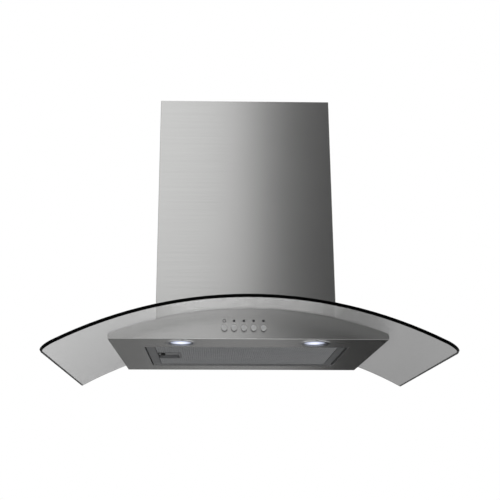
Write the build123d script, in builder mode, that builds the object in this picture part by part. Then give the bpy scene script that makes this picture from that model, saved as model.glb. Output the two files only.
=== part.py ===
from build123d import *
import os
from math import asin, cos, degrees, sin, sqrt

# Curved range hood for a kitchen wall, in millimetres.
# +X is to the right as seen from the room, +Y points into the wall and +Z is up.
# The origin is midway between the two hanging holes, on the wall face of the back plate.
# Heights named *_HEIGHT are measured up from the bottom of the steel body.

# Sheet metal and seats
SHEET = 1.0              # stainless and galvanised sheet
SEAT = 0.3               # clearance where a sheet is cut to a bent surface
PLAY = 0.2               # clearance between a panel and what it is set into
THROUGH = 4              # a cut through a sheet is this many sheets long

# Glass canopy: one sheet bent about a level axis that runs from the wall to the front
GLASS_WIDTH = 750.0
GLASS_DEPTH = 480.0
GLASS_THICK = 6.0
GLASS_RADIUS = 762.0     # bend radius of the underside
GLASS_CORNER = 30.0      # plan radius of the two front corners
GLASS_EDGE = 0.8         # ground off the long edges, above and below
SEAL = 2.0               # rubber between the glass and the steel under it
SEAL_WIDTH = 12.0
SADDLE_SEAL = 1.5        # rubber between the glass and the saddle on top of it

# Steel body under the glass
BODY_WIDTH = 530.0
BODY_DEPTH = 386.0       # wall to front panel
END_HEIGHT = 11.0        # from the body's bottom to the glass, at the ends of the body
PANEL_CORNER = 3.0
PANEL_BEND = 0.8         # round along the front panel's lower edge
CARRIER_SHEET = 1.2
SAFETY_INSET = 30.0      # lower wall screws, in from the ends of the body
SAFETY_HOLE = 3.25
SAFETY_HEIGHT = 9.5

# Push buttons
BUTTON_COUNT = 5
BUTTON_PITCH = 18.5
BUTTON_GROUP_X = -9.0    # the row sits a little left of the panel's middle
BUTTON_HEIGHT = 20.0
BUTTON_RADIUS = 5.3
BUTTON_PROUD = 7.0
BUTTON_PLAY = 0.3
BUTTON_TRAVEL = 3.0
BUTTON_EDGE = 1.0
BUTTON_FLANGE = 1.3      # how far the retaining flange stands out from the cap
BUTTON_FLANGE_THICK = 1.2
STEM_RADIUS = 3.0
STEM_LENGTH = 12.0
STEM_PLAY = 0.1
SWITCH_DEPTH = 26.0
SWITCH_TALL = 24.0
SWITCH_MARGIN = 14.0     # from the last button to the end of the switch block
SWITCH_EAR = 5.0
SWITCH_FACE_GAP = 0.5    # left between the flange and the block with the button pressed

# Lamps
LAMP_SPACING = 258.0
LAMP_SETBACK = 41.5      # front panel to the middle of a lamp
LAMP_RADIUS = 30.5       # outside of the bezel
LAMP_SLEEVE = 27.2
LAMP_RING = 1.2          # bezel below the plate
LAMP_EDGE = 1.0          # round on the outside of the bezel
LAMP_SLEEVE_WALL = 1.7
LAMP_LIP = 1.5           # ledge that holds the lens, in from the sleeve
LAMP_SLEEVE_TALL = 14.0
LENS_THICK = 2.4
LENS_DOME = 1.0
CUP_TALL = 30.0
CUP_WALL = 1.0
BOARD_HEIGHT = 14.0
BOARD_THICK = 1.6
CHIP_RADIUS = 8.0
CHIP_TALL = 3.0
CHIP_TAPER = 20.0        # degrees

# Grease filter and its opening in the underside
OPENING_WIDTH = 407.0
OPENING_DEPTH = 240.0
OPENING_SETBACK = 88.0   # front panel to the opening
OPENING_CORNER = 4.0
FILTER_PLAY = 1.2
FILTER_RECESS = 3.0
FILTER_THICK = 9.0
FILTER_END_BORDER = 18.0
FILTER_SIDE_BORDER = 7.0
FILTER_CORNER = 3.0
FILTER_EDGE = 1.0        # round along the frame's outer edges
FILTER_ROUND_FLAT = 0.06 # flat left between the two halves of the rounded right end
LIP_OVER_FILTER = 2.0
MESH_SHEET = 1.0
MESH_SETBACK = 0.6       # mesh face above the underside of the frame
MESH_CELL_LONG = 30.0
MESH_CELL_SHORT = 20.0
MESH_STRAND = 2.2
MESH_MARGIN = 6.0
HINGE_PIN = 2.5
HINGE_PLAY = 0.08
HINGE_REACH = 1.5        # pin end beyond the lip
POCKET_LENGTH = 46.0     # finger pocket beside the left border
POCKET_WIDTH = 70.0
POCKET_TALL = 8.0
POCKET_WALL = 1.0
POCKET_RIM = 4.0
LATCH_WIDTH = 12.0
LATCH_THICK = 1.5
LATCH_THROW = 6.0
LATCH_PLAY = 0.6         # tongue in the slot of the lip
KNOB_LENGTH = 8.0
KNOB_WIDTH = 14.0
KNOB_GAP = 1.0           # knob to border with the latch thrown
KNOB_EDGE = 1.0

# Chimney
CHIMNEY_WIDTH = 370.0
CHIMNEY_DEPTH = 270.0
CHIMNEY_HEIGHT = 554.0
CHIMNEY_BEND = 1.6       # outside radius of the folds
CHIMNEY_HEM = 12.0       # rear hems
SLIDE_GAP = 0.5          # between the two chimney covers
UPPER_DROP = 4.0         # top of the stowed upper cover below the lower cover's
SHELF_HEIGHT = 115.0     # where the stowed upper cover rests
SHELF_WIDTH = 30.0
SHELF_TAB = 26.0
SHELF_Y = -60.0
COVER_SCREW = 2.0
COVER_SCREW_HEAD = 4.0
COVER_SCREW_HEAD_TALL = 1.6
COVER_SCREW_LENGTH = 6.0
COVER_SCREW_TAPER = 20.0 # degrees

# Fan box, saddle and back plate
FAN_SIDE_ROOM = 35.0     # chimney side to fan box
FAN_FRONT_ROOM = 20.0
FAN_FLOOR_GAP = 7.0      # saddle to the underside of the scroll
BACK_SHEET = 1.5
BACK_RIB_LENGTH = 200.0  # pressed ribs that stiffen the back plate
BACK_RIB_WIDTH = 18.0
BACK_RIB_DEEP = 3.0
BACK_RIB_TAPER = 40.0    # degrees
BACK_RIB_SPACING = 190.0
SADDLE_SHEET = 1.5
SADDLE_FLANGE = 26.0
AIR_MARGIN = 15.0        # fan box wall to the air opening
AIR_CORNER = 15.0
HANG_ABOVE_FAN = 50.0
HANG_SPACING = 240.0
HANG_HOLE = 4.25
HANG_EAR = 30.0          # plate above the hanging holes
BOLT_RADIUS = 3.0
BOLT_INSET = 40.0        # bolts from the front and rear of the fan box
BOLT_HEAD = 5.6
BOLT_HEAD_TALL = 4.0
NUT_TALL = 5.0
BOLT_END = 2.0           # bolt beyond its nut
BOLT_PLAY = 0.1
BUSH_RADIUS = 7.0

# Blower
WHEEL_RADIUS = 80.0
WHEEL_BORE = 66.0        # inside of the blades
WHEEL_RING_LAP = 1.5     # end rings inside the blades
WHEEL_WIDTH = 110.0
WHEEL_PLATE = 1.5
BLADE_COUNT = 36
BLADE_THICK = 1.0
BLADE_SWEEP = 9.0        # how far a blade leans round the wheel
BLADE_BOW = 2.6
HUB_RADIUS = 12.0
HUB_LENGTH = 18.0
SHAFT_RADIUS = 4.0
SHAFT_PLAY = 0.05
SCROLL_SHEET = 1.2
SCROLL_GAP = 8.0         # wheel to the scroll at its tightest
SCROLL_STEP = 6.0        # growth of the scroll in each quarter turn
SCROLL_RISE = 130.0      # wheel axis to the outlet
SCROLL_SIDE_GAP = 5.0    # wheel to side plate
SCROLL_REAR_GAP = 12.0
TONGUE_RADIUS = 8.0
INLET_RADIUS = 62.0
INLET_COLLAR = 8.0
MOTOR_RADIUS = 40.0
MOTOR_IN = 12.0          # inner face of the motor from the middle of the wheel
MOTOR_OUT = 30.0         # motor outside its bracket
MOTOR_FLANGE = 8.0
MOTOR_FLANGE_THICK = 2.0
MOTOR_EDGE = 4.0
MOTOR_VENTS = 8          # slots in the outer end of the motor
MOTOR_VENT_CIRCLE = 24.0 # radius of the ring of slots
MOTOR_VENT_LENGTH = 14.0
MOTOR_VENT_WIDTH = 5.0
MOTOR_VENT_DEEP = 4.0
BRACKET_SHEET = 2.0
BRACKET_RIM = 10.0
BRACKET_ARM = 12.0
BRACKET_ARMS = 3
MOTOR_SCREW_HEAD = 3.6
MOTOR_SCREW_TALL = 2.4
MOTOR_SCREW_EDGE = 1.0

# Outlet
COLLAR_RADIUS = 75.0
COLLAR_WALL = 2.0
COLLAR_TALL = 45.0
COLLAR_SETBACK = 15.0    # collar axis behind the middle of the scroll's outlet
ADAPTER_RISE = 30.0
ADAPTER_FLANGE = 12.0
ADAPTER_FLANGE_THICK = 2.5
ADAPTER_SCREW = 2.0      # screws at the corners of the adapter's flange
FLAP_AXIS_UP = 20.0      # flap axes above the bottom of the collar
FLAP_AXIS_APART = 5.4
FLAP_THICK = 1.5
FLAP_GAP = 1.2
FLAP_BARREL = 2.2
FLAP_PIN = 1.5
FLAP_PIN_PLAY = 0.08
FLAP_RIBS = 3            # stiffening ribs on top of each flap
FLAP_RIB_PITCH = 34.0
FLAP_RIB_WIDTH = 1.5
FLAP_RIB_TALL = 1.2
FLAP_RIB_INSET = 8.0     # from the flap's rim
LEDGE_WIDTH = 4.0
LEDGE_TALL = 2.0

# Electrics on top of the fan box
JUNCTION_WIDTH = 60.0
JUNCTION_DEPTH = 44.0
JUNCTION_TALL = 28.0
JUNCTION_WALL = 2.0
JUNCTION_LID = 3.0
JUNCTION_LID_EDGE = 1.0
JUNCTION_CORNER = 4.0
LID_SCREW = 1.5          # two screws at opposite corners of the lid
LID_SCREW_BOSS = 3.6
LID_SCREW_HEAD = 2.9
LID_SCREW_SINK = 1.8     # head below the top of the lid
LID_SCREW_INSET = 5.0    # from the sides of the box
JUNCTION_INSET = 40.0    # middle of the box from the fan box's side
ELECTRICS_Y = -55.0
GLAND_RADIUS = 9.0
GLAND_BORE = 4.0
GLAND_REACH = 12.0
GLAND_TAPER = 15.0       # degrees
CAPACITOR_RADIUS = 15.0
CAPACITOR_LENGTH = 58.0
CAPACITOR_EDGE = 2.5
CLIP_SHEET = 1.0
CLIP_WIDTH = 14.0
CLIP_FOOT = 12.0

# Places worked out from the sizes above
BODY_HALF = BODY_WIDTH / 2
GLASS_CROWN = END_HEIGHT + GLASS_RADIUS - sqrt(GLASS_RADIUS**2 - BODY_HALF**2)
SADDLE_UNDER = GLASS_RADIUS + GLASS_THICK + SADDLE_SEAL
SADDLE_TOP = SADDLE_UNDER + SADDLE_SHEET
CARRIER_UNDER = GLASS_RADIUS - SEAL - CARRIER_SHEET
REAR_RADIUS = WHEEL_RADIUS + SCROLL_GAP + SCROLL_STEP
LOWER_RADIUS = REAR_RADIUS + SCROLL_STEP
FRONT_RADIUS = LOWER_RADIUS + SCROLL_STEP
SCROLL_HALF = WHEEL_WIDTH / 2 + SCROLL_SIDE_GAP
WHEEL_HEIGHT = GLASS_CROWN + SADDLE_TOP - GLASS_RADIUS + FAN_FLOOR_GAP + FRONT_RADIUS
FAN_HEIGHT = WHEEL_HEIGHT + SCROLL_RISE + PLAY
BOTTOM = -(FAN_HEIGHT + HANG_ABOVE_FAN)
ARCH_Z = BOTTOM + GLASS_CROWN - GLASS_RADIUS
FAN_WIDTH = CHIMNEY_WIDTH - 2 * FAN_SIDE_ROOM
FAN_DEPTH = CHIMNEY_DEPTH - FAN_FRONT_ROOM
FAN_TOP_Z = BOTTOM + FAN_HEIGHT
DECK_Z = FAN_TOP_Z + SHEET
BACK_RIB_Z = (FAN_TOP_Z + BOTTOM + GLASS_CROWN + GLASS_THICK) / 2
AIR_WIDTH = FAN_WIDTH - 2 * AIR_MARGIN
AIR_DEPTH = FAN_DEPTH - BACK_SHEET - 2 * AIR_MARGIN
AIR_Y = -(FAN_DEPTH + BACK_SHEET) / 2
BOLT_X = FAN_WIDTH / 2 + SADDLE_FLANGE / 2
BOLT_LEAN = asin(BOLT_X / GLASS_RADIUS)
WHEEL_Y = -(BACK_SHEET + SCROLL_REAR_GAP + REAR_RADIUS)
WHEEL_Z = BOTTOM + WHEEL_HEIGHT
OUTLET_FRONT = WHEEL_Y - SCROLL_STEP - FRONT_RADIUS
OUTLET_REAR = WHEEL_Y - TONGUE_RADIUS
OUTLET_Y = (OUTLET_FRONT + OUTLET_REAR) / 2
OUTLET_DEPTH = OUTLET_REAR - OUTLET_FRONT - SCROLL_SHEET
OUTLET_WIDTH = 2 * SCROLL_HALF
COLLAR_Y = OUTLET_Y + COLLAR_SETBACK
COLLAR_Z = DECK_Z + ADAPTER_RISE
FLAP_Z = COLLAR_Z + FLAP_AXIS_UP
LAMP_Y = -(BODY_DEPTH - LAMP_SETBACK)
OPENING_Y = -(BODY_DEPTH - OPENING_SETBACK) + OPENING_DEPTH / 2
FILTER_Z = BOTTOM + FILTER_RECESS
FILTER_WIDTH = OPENING_WIDTH - 2 * FILTER_PLAY
FILTER_DEPTH = OPENING_DEPTH - 2 * FILTER_PLAY
WINDOW_WIDTH = FILTER_WIDTH - 2 * FILTER_END_BORDER
WINDOW_DEPTH = FILTER_DEPTH - 2 * FILTER_SIDE_BORDER
LIP_TALL = FILTER_RECESS + FILTER_THICK + LIP_OVER_FILTER
HINGE_X = FILTER_WIDTH / 2 - FILTER_THICK / 2
HINGE_Z = FILTER_Z + FILTER_THICK / 2
LATCH_Z = FILTER_Z + POCKET_TALL - POCKET_WALL - PLAY - LATCH_THICK
POCKET_X = -WINDOW_WIDTH / 2 + PLAY + POCKET_LENGTH / 2
KNOB_X = -WINDOW_WIDTH / 2 + KNOB_GAP + LATCH_THROW + KNOB_LENGTH / 2
BLOCK_FACE = SHEET + SEAT + BUTTON_FLANGE_THICK + BUTTON_TRAVEL + SWITCH_FACE_GAP
UPPER_WIDTH = CHIMNEY_WIDTH - 2 * SHEET - 2 * SLIDE_GAP
UPPER_DEPTH = CHIMNEY_DEPTH - SHEET - SLIDE_GAP
UPPER_REAR = BACK_SHEET + SLIDE_GAP
UPPER_Z = BOTTOM + SHELF_HEIGHT
UPPER_TALL = CHIMNEY_HEIGHT - UPPER_DROP - SHELF_HEIGHT
COVER_SCREW_Z = UPPER_Z - SHEET - SHELF_TAB / 2
BRACKET_X = SCROLL_HALF + SCROLL_SHEET
FLANGE_X = BRACKET_X + BRACKET_SHEET
JUNCTION_X = FAN_WIDTH / 2 - JUNCTION_INSET
LID_SCREW_X = JUNCTION_WIDTH / 2 - LID_SCREW_INSET
LID_SCREW_Y = JUNCTION_DEPTH / 2 - LID_SCREW_INSET
CAPACITOR_Z = DECK_Z + CAPACITOR_RADIUS + SEAT

FROM_WALL = (Align.CENTER, Align.MAX)   # a rectangle that starts at the wall side and comes forward

os.makedirs("parts", exist_ok=True)


def save(piece, name):
    """Labels a finished piece and writes it as a file of its own."""
    piece.part.label = name
    export_step(piece.part, f"parts/{name}.step")


def upright_plane(x, y, z):
    """A plane through a point whose own axes run to the right and up."""
    return Plane(origin=(x, y, z), x_dir=(1, 0, 0), z_dir=(0, -1, 0))


def button_x(index):
    """Middle of one push button across the panel."""
    return BUTTON_GROUP_X + (index - (BUTTON_COUNT - 1) / 2) * BUTTON_PITCH


def button_plane(index):
    """A plane on the front of the panel at one button, facing the room."""
    return upright_plane(button_x(index), -BODY_DEPTH, BOTTOM + BUTTON_HEIGHT)


def bolt_planes(radius):
    """Planes square to the glass at its four bolts, on a surface of the given bend radius."""
    planes = []
    for side in (-1, 1):
        for y in (-FAN_DEPTH + BOLT_INSET, -BOLT_INSET):
            lean = (side * sin(BOLT_LEAN), 0, cos(BOLT_LEAN))
            spot = (radius * lean[0], y, ARCH_Z + radius * lean[2])
            planes.append(Plane(origin=spot, x_dir=(0, 1, 0), z_dir=lean))
    return planes


def bent_strip(radius, thickness, half_width):
    """Draws the section of a sheet bent round the glass's axis, with square ends."""
    half_angle = degrees(asin(half_width / (radius + thickness)))
    with BuildLine() as section:
        under = CenterArc((0, ARCH_Z), radius, 90 - half_angle, 2 * half_angle)
        over = CenterArc((0, ARCH_Z), radius + thickness, 90 - half_angle, 2 * half_angle)
        Line(under @ 0, over @ 0)
        Line(under @ 1, over @ 1)
    make_face(section.edges())


def under_arch(radius, half_width):
    """Draws all that lies between the body's bottom and a bent surface."""
    side = ARCH_Z + sqrt(radius**2 - half_width**2)
    with BuildLine() as section:
        Polyline((-half_width, side), (-half_width, BOTTOM), (half_width, BOTTOM), (half_width, side))
        ThreePointArc((-half_width, side), (0, ARCH_Z + radius), (half_width, side))
    make_face(section.edges())


def cut_air_opening():
    """Cuts the air opening up through the bent sheet that is being built."""
    with BuildSketch(Plane.XY.offset(BOTTOM)) as opening:
        with Locations((0, AIR_Y)):
            RectangleRounded(AIR_WIDTH, AIR_DEPTH, AIR_CORNER)
    extrude(opening.sketch, amount=FAN_HEIGHT, mode=Mode.SUBTRACT)


def cut_adapter_holes():
    """Cuts the four screw holes of the outlet adapter out of the plan that is being drawn."""
    with Locations((0, OUTLET_Y)):
        with GridLocations(OUTLET_WIDTH + ADAPTER_FLANGE, OUTLET_DEPTH + ADAPTER_FLANGE, 2, 2):
            Circle(ADAPTER_SCREW + BOLT_PLAY, mode=Mode.SUBTRACT)


def trim_to_glass(radius, half_width):
    """Takes away what reaches below a bent surface on top of the glass."""
    with BuildSketch(Plane.XZ) as below:
        under_arch(radius, half_width)
    extrude(below.sketch, amount=CHIMNEY_DEPTH, mode=Mode.SUBTRACT)


def folded_plan(width, depth, rear):
    """Draws the plan of a cover folded from one sheet: front, sides and two rear hems."""
    inner_width = width - 2 * SHEET
    inner_depth = depth - rear - 2 * SHEET
    rear_gap = inner_width - 2 * CHIMNEY_HEM
    with Locations((0, -rear)):
        Rectangle(width, depth - rear, align=FROM_WALL)
        Rectangle(rear_gap, SHEET, align=FROM_WALL, mode=Mode.SUBTRACT)
    with Locations((0, -rear - SHEET)):
        Rectangle(inner_width, inner_depth, align=FROM_WALL, mode=Mode.SUBTRACT)


# Bent glass with its air opening and four bolt holes
with BuildPart() as glass_canopy:
    # Grinding takes the outermost corner off, so the sheet is cut that much wider.
    outer_radius = GLASS_RADIUS + GLASS_THICK
    cut_half = GLASS_WIDTH / 2 * outer_radius / (outer_radius - GLASS_EDGE)
    with BuildSketch(Plane.XZ):
        bent_strip(GLASS_RADIUS, GLASS_THICK, cut_half)
    extrude(amount=GLASS_DEPTH)
    front_corners = glass_canopy.faces().sort_by(Axis.Y)[0].edges().filter_by(GeomType.LINE)
    fillet(front_corners, radius=GLASS_CORNER)
    # Both broad faces are ground all round, but for their two edges at the wall.
    broad_faces = glass_canopy.faces().sort_by(SortBy.AREA)[-2:]
    chamfer(broad_faces.edges().sort_by(Axis.Y)[:-2], length=GLASS_EDGE)
    cut_air_opening()
    with Locations(*bolt_planes(GLASS_RADIUS + GLASS_THICK / 2)):
        Cylinder(BUSH_RADIUS + PLAY, THROUGH * GLASS_THICK, mode=Mode.SUBTRACT)
save(glass_canopy, "glass_canopy")

# Rubber strips between the glass and its carrier, along the front and the wall
with BuildPart() as glass_seal:
    front_strip = BODY_DEPTH - SHEET - PLAY - SEAL_WIDTH
    with BuildSketch(Plane.XZ.offset(SHEET + PLAY), Plane.XZ.offset(front_strip)):
        bent_strip(GLASS_RADIUS - SEAL + PLAY / 2, SEAL - PLAY, BODY_HALF - SHEET - PLAY)
    extrude(amount=SEAL_WIDTH)
save(glass_seal, "glass_seal")

# Bent steel carrier that the glass lies on
with BuildPart() as glass_carrier:
    with BuildSketch(Plane.XZ.offset(SHEET + PLAY)):
        bent_strip(CARRIER_UNDER, CARRIER_SHEET, BODY_HALF - SHEET - PLAY)
    extrude(amount=BODY_DEPTH - 2 * (SHEET + PLAY))
    cut_air_opening()
    with Locations(*bolt_planes(CARRIER_UNDER)):
        Cylinder(BOLT_RADIUS + BOLT_PLAY, THROUGH * CARRIER_SHEET, mode=Mode.SUBTRACT)
save(glass_carrier, "glass_carrier")

# Front panel, whose top edge follows the glass
with BuildPart() as canopy_front:
    with BuildSketch(Plane.XZ.offset(BODY_DEPTH - SHEET)):
        under_arch(GLASS_RADIUS - SEAT, BODY_HALF)
    extrude(amount=SHEET)
    ends = canopy_front.faces().filter_by(Axis.X)
    fillet(ends.edges().filter_by(Axis.Y).group_by(Axis.Z)[-1], radius=PANEL_CORNER)
    lower_edge = canopy_front.edges().filter_by(Axis.X).sort_by(Axis.Y)[0]
    fillet(lower_edge, radius=min(PANEL_BEND, SHEET - PLAY))
    with Locations(*[button_plane(index) for index in range(BUTTON_COUNT)]):
        Cylinder(BUTTON_RADIUS + BUTTON_PLAY, THROUGH * SHEET, mode=Mode.SUBTRACT)
save(canopy_front, "canopy_front")

# Back panel with the two lower wall screw holes
with BuildPart() as canopy_back:
    with BuildSketch(Plane.XZ):
        under_arch(GLASS_RADIUS - SEAT, BODY_HALF - SHEET)
        with Locations((0, BOTTOM + SAFETY_HEIGHT)):
            with GridLocations(BODY_WIDTH - 2 * SAFETY_INSET, 0, 2, 1):
                Circle(SAFETY_HOLE, mode=Mode.SUBTRACT)
    extrude(amount=SHEET)
save(canopy_back, "canopy_back")

# End panels
for side, name in ((-1, "left"), (1, "right")):
    with BuildPart() as canopy_end:
        with BuildSketch(Plane.XY.offset(BOTTOM)):
            with Locations((side * (BODY_HALF - SHEET / 2), 0)):
                Rectangle(SHEET, BODY_DEPTH - SHEET, align=FROM_WALL)
        extrude(amount=END_HEIGHT - SEAT)
    save(canopy_end, f"canopy_end_{name}")

# Underside plate with the lamp holes and the lipped filter opening
with BuildPart() as bottom_plate:
    with BuildSketch(Plane.XY.offset(BOTTOM)):
        with Locations((0, -BODY_DEPTH / 2)):
            Rectangle(BODY_WIDTH - 2 * SHEET, BODY_DEPTH - 2 * SHEET)
        with Locations((0, LAMP_Y)):
            with GridLocations(LAMP_SPACING, 0, 2, 1):
                Circle(LAMP_SLEEVE + SEAT, mode=Mode.SUBTRACT)
    extrude(amount=SHEET)
    with BuildSketch(Plane.XY.offset(BOTTOM)):
        with Locations((0, OPENING_Y)):
            lip_width = OPENING_WIDTH + 2 * SHEET
            lip_depth = OPENING_DEPTH + 2 * SHEET
            RectangleRounded(lip_width, lip_depth, OPENING_CORNER + SHEET)
    extrude(amount=LIP_TALL)
    with BuildSketch(Plane.XY.offset(BOTTOM)):
        with Locations((0, OPENING_Y)):
            RectangleRounded(OPENING_WIDTH, OPENING_DEPTH, OPENING_CORNER)
    extrude(amount=LIP_TALL, mode=Mode.SUBTRACT)
    with Locations(Plane(origin=(HINGE_X, OPENING_Y, HINGE_Z), z_dir=(0, 1, 0))):
        Cylinder(HINGE_PIN + HINGE_PLAY, OPENING_DEPTH + THROUGH * SHEET, mode=Mode.SUBTRACT)
    with Locations((-(OPENING_WIDTH + SHEET) / 2, OPENING_Y, LATCH_Z + LATCH_THICK / 2)):
        Box(THROUGH * SHEET, LATCH_WIDTH + 2 * LATCH_PLAY, LATCH_THICK + 2 * LATCH_PLAY, mode=Mode.SUBTRACT)
save(bottom_plate, "bottom_plate")

# Lamps: bezel with its sleeve, domed lens, cup and light board
for side, name in ((-1, "left"), (1, "right")):
    lamp_x = side * LAMP_SPACING / 2
    lamp_plane = upright_plane(lamp_x, LAMP_Y, BOTTOM)
    lamp_axis = Axis((lamp_x, LAMP_Y, BOTTOM), (0, 0, 1))
    sleeve_bore = LAMP_SLEEVE - LAMP_SLEEVE_WALL
    lens_seat = -LAMP_RING + LAMP_SLEEVE_WALL
    lens_top = lens_seat + PLAY + LENS_THICK

    with BuildPart() as lamp_bezel:
        with BuildSketch(lamp_plane):
            with BuildLine():
                Polyline(
                    (sleeve_bore - LAMP_LIP, -LAMP_RING),
                    (LAMP_RADIUS, -LAMP_RING),
                    (LAMP_RADIUS, 0),
                    (LAMP_SLEEVE, 0),
                    (LAMP_SLEEVE, LAMP_SLEEVE_TALL),
                    (sleeve_bore, LAMP_SLEEVE_TALL),
                    (sleeve_bore, lens_seat),
                    (sleeve_bore - LAMP_LIP, lens_seat),
                    close=True,
                )
            make_face()
        revolve(axis=lamp_axis)
        lower_rims = lamp_bezel.edges().filter_by(GeomType.CIRCLE).group_by(Axis.Z)[0]
        fillet(lower_rims.sort_by(SortBy.RADIUS)[-1], radius=min(LAMP_EDGE, LAMP_RING - PLAY))
    save(lamp_bezel, f"lamp_bezel_{name}")

    with BuildPart() as lamp_lens:
        with BuildSketch(lamp_plane):
            lens_radius = sleeve_bore - PLAY
            dome_radius = sleeve_bore - LAMP_LIP - PLAY
            with BuildLine():
                Line((0, lens_seat + PLAY - LENS_DOME), (0, lens_top))
                Line((0, lens_top), (lens_radius, lens_top))
                Line((lens_radius, lens_top), (lens_radius, lens_seat + PLAY))
                Line((lens_radius, lens_seat + PLAY), (dome_radius, lens_seat + PLAY))
                TangentArc(
                    (0, lens_seat + PLAY - LENS_DOME), (dome_radius, lens_seat + PLAY), tangent=(1, 0)
                )
            make_face()
        revolve(axis=lamp_axis)
    save(lamp_lens, f"lamp_lens_{name}")

    with BuildPart() as lamp_cup:
        with BuildSketch(lamp_plane):
            cup_radius = sleeve_bore - PLAY
            with BuildLine():
                Polyline(
                    (cup_radius, lens_top + PLAY),
                    (cup_radius, CUP_TALL),
                    (0, CUP_TALL),
                    (0, CUP_TALL - CUP_WALL),
                    (cup_radius - CUP_WALL, CUP_TALL - CUP_WALL),
                    (cup_radius - CUP_WALL, lens_top + PLAY),
                    close=True,
                )
            make_face()
        revolve(axis=lamp_axis)
    save(lamp_cup, f"lamp_cup_{name}")

    with BuildPart() as lamp_board:
        with BuildSketch(Plane.XY.offset(BOTTOM + BOARD_HEIGHT)):
            with Locations((lamp_x, LAMP_Y)):
                Circle(cup_radius - CUP_WALL - PLAY)
        extrude(amount=BOARD_THICK)
        with BuildSketch(Plane.XY.offset(BOTTOM + BOARD_HEIGHT)):
            with Locations((lamp_x, LAMP_Y)):
                Circle(CHIP_RADIUS)
        extrude(amount=-CHIP_TALL, taper=CHIP_TAPER)
    save(lamp_board, f"lamp_board_{name}")

# Push buttons: cap, retaining flange behind the panel, and stem
for index in range(BUTTON_COUNT):
    spot = (button_x(index), -BODY_DEPTH, BOTTOM + BUTTON_HEIGHT)
    flange_front = -(SHEET + SEAT)
    flange_back = flange_front - BUTTON_FLANGE_THICK
    with BuildPart() as button:
        with BuildSketch(Plane(origin=spot, x_dir=(1, 0, 0), z_dir=(0, 0, -1))):
            with BuildLine():
                face = Line((0, BUTTON_PROUD), (BUTTON_RADIUS - BUTTON_EDGE, BUTTON_PROUD))
                edge = JernArc(face @ 1, (1, 0), BUTTON_EDGE, -90)
                Polyline(
                    edge @ 1,
                    (BUTTON_RADIUS, flange_front),
                    (BUTTON_RADIUS + BUTTON_FLANGE, flange_front),
                    (BUTTON_RADIUS + BUTTON_FLANGE, flange_back),
                    (STEM_RADIUS, flange_back),
                    (STEM_RADIUS, flange_back - STEM_LENGTH),
                    (0, flange_back - STEM_LENGTH),
                    (0, BUTTON_PROUD),
                )
            make_face()
        revolve(axis=Axis(spot, (0, -1, 0)))
    save(button, f"button_{index + 1}")

# Switch block behind the buttons, held to the panel by an ear at each end
with BuildPart() as switch_block:
    block_length = (BUTTON_COUNT - 1) * BUTTON_PITCH + 2 * SWITCH_MARGIN
    block_plane = upright_plane(BUTTON_GROUP_X, -BODY_DEPTH + BLOCK_FACE, BOTTOM + BUTTON_HEIGHT)
    with BuildSketch(block_plane):
        Rectangle(block_length, SWITCH_TALL)
    extrude(amount=-SWITCH_DEPTH)
    with BuildSketch(block_plane):
        with GridLocations(block_length - SWITCH_EAR, 0, 2, 1):
            Rectangle(SWITCH_EAR, SWITCH_TALL)
    extrude(amount=BLOCK_FACE - SHEET)
    with BuildSketch(block_plane):
        with GridLocations(BUTTON_PITCH, 0, BUTTON_COUNT, 1):
            Circle(STEM_RADIUS + STEM_PLAY)
    extrude(amount=-(STEM_LENGTH + BUTTON_TRAVEL), mode=Mode.SUBTRACT)
save(switch_block, "switch_block")

# Filter frame: half-round right end with two hinge pins, and a slot for the latch in the left border
with BuildPart() as filter_frame:
    with BuildSketch(Plane.XY.offset(FILTER_Z)):
        with Locations((0, OPENING_Y)):
            Rectangle(FILTER_WIDTH, FILTER_DEPTH)
    extrude(amount=FILTER_THICK)
    left_end = filter_frame.edges().filter_by(Axis.Z).group_by(Axis.X)[0]
    fillet(left_end, radius=FILTER_CORNER)
    right_end = filter_frame.edges().filter_by(Axis.Y).group_by(Axis.X)[-1]
    fillet(right_end, radius=(FILTER_THICK - FILTER_ROUND_FLAT) / 2)
    lower_rim = filter_frame.faces().sort_by(Axis.Z)[0].edges()
    fillet(lower_rim.sort_by(Axis.X)[:-1], radius=FILTER_EDGE)
    with BuildSketch(Plane.XY.offset(FILTER_Z)):
        with Locations((0, OPENING_Y)):
            Rectangle(WINDOW_WIDTH, WINDOW_DEPTH)
    extrude(amount=FILTER_THICK, mode=Mode.SUBTRACT)
    with Locations(Plane(origin=(HINGE_X, OPENING_Y, HINGE_Z), z_dir=(0, 1, 0))):
        Cylinder(HINGE_PIN, OPENING_DEPTH + 2 * (SHEET + HINGE_REACH))
    with Locations((-(FILTER_WIDTH - FILTER_END_BORDER) / 2, OPENING_Y, LATCH_Z + LATCH_THICK / 2)):
        Box(2 * FILTER_END_BORDER, LATCH_WIDTH + 2 * PLAY, LATCH_THICK + 2 * PLAY, mode=Mode.SUBTRACT)
save(filter_frame, "filter_frame")

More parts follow.
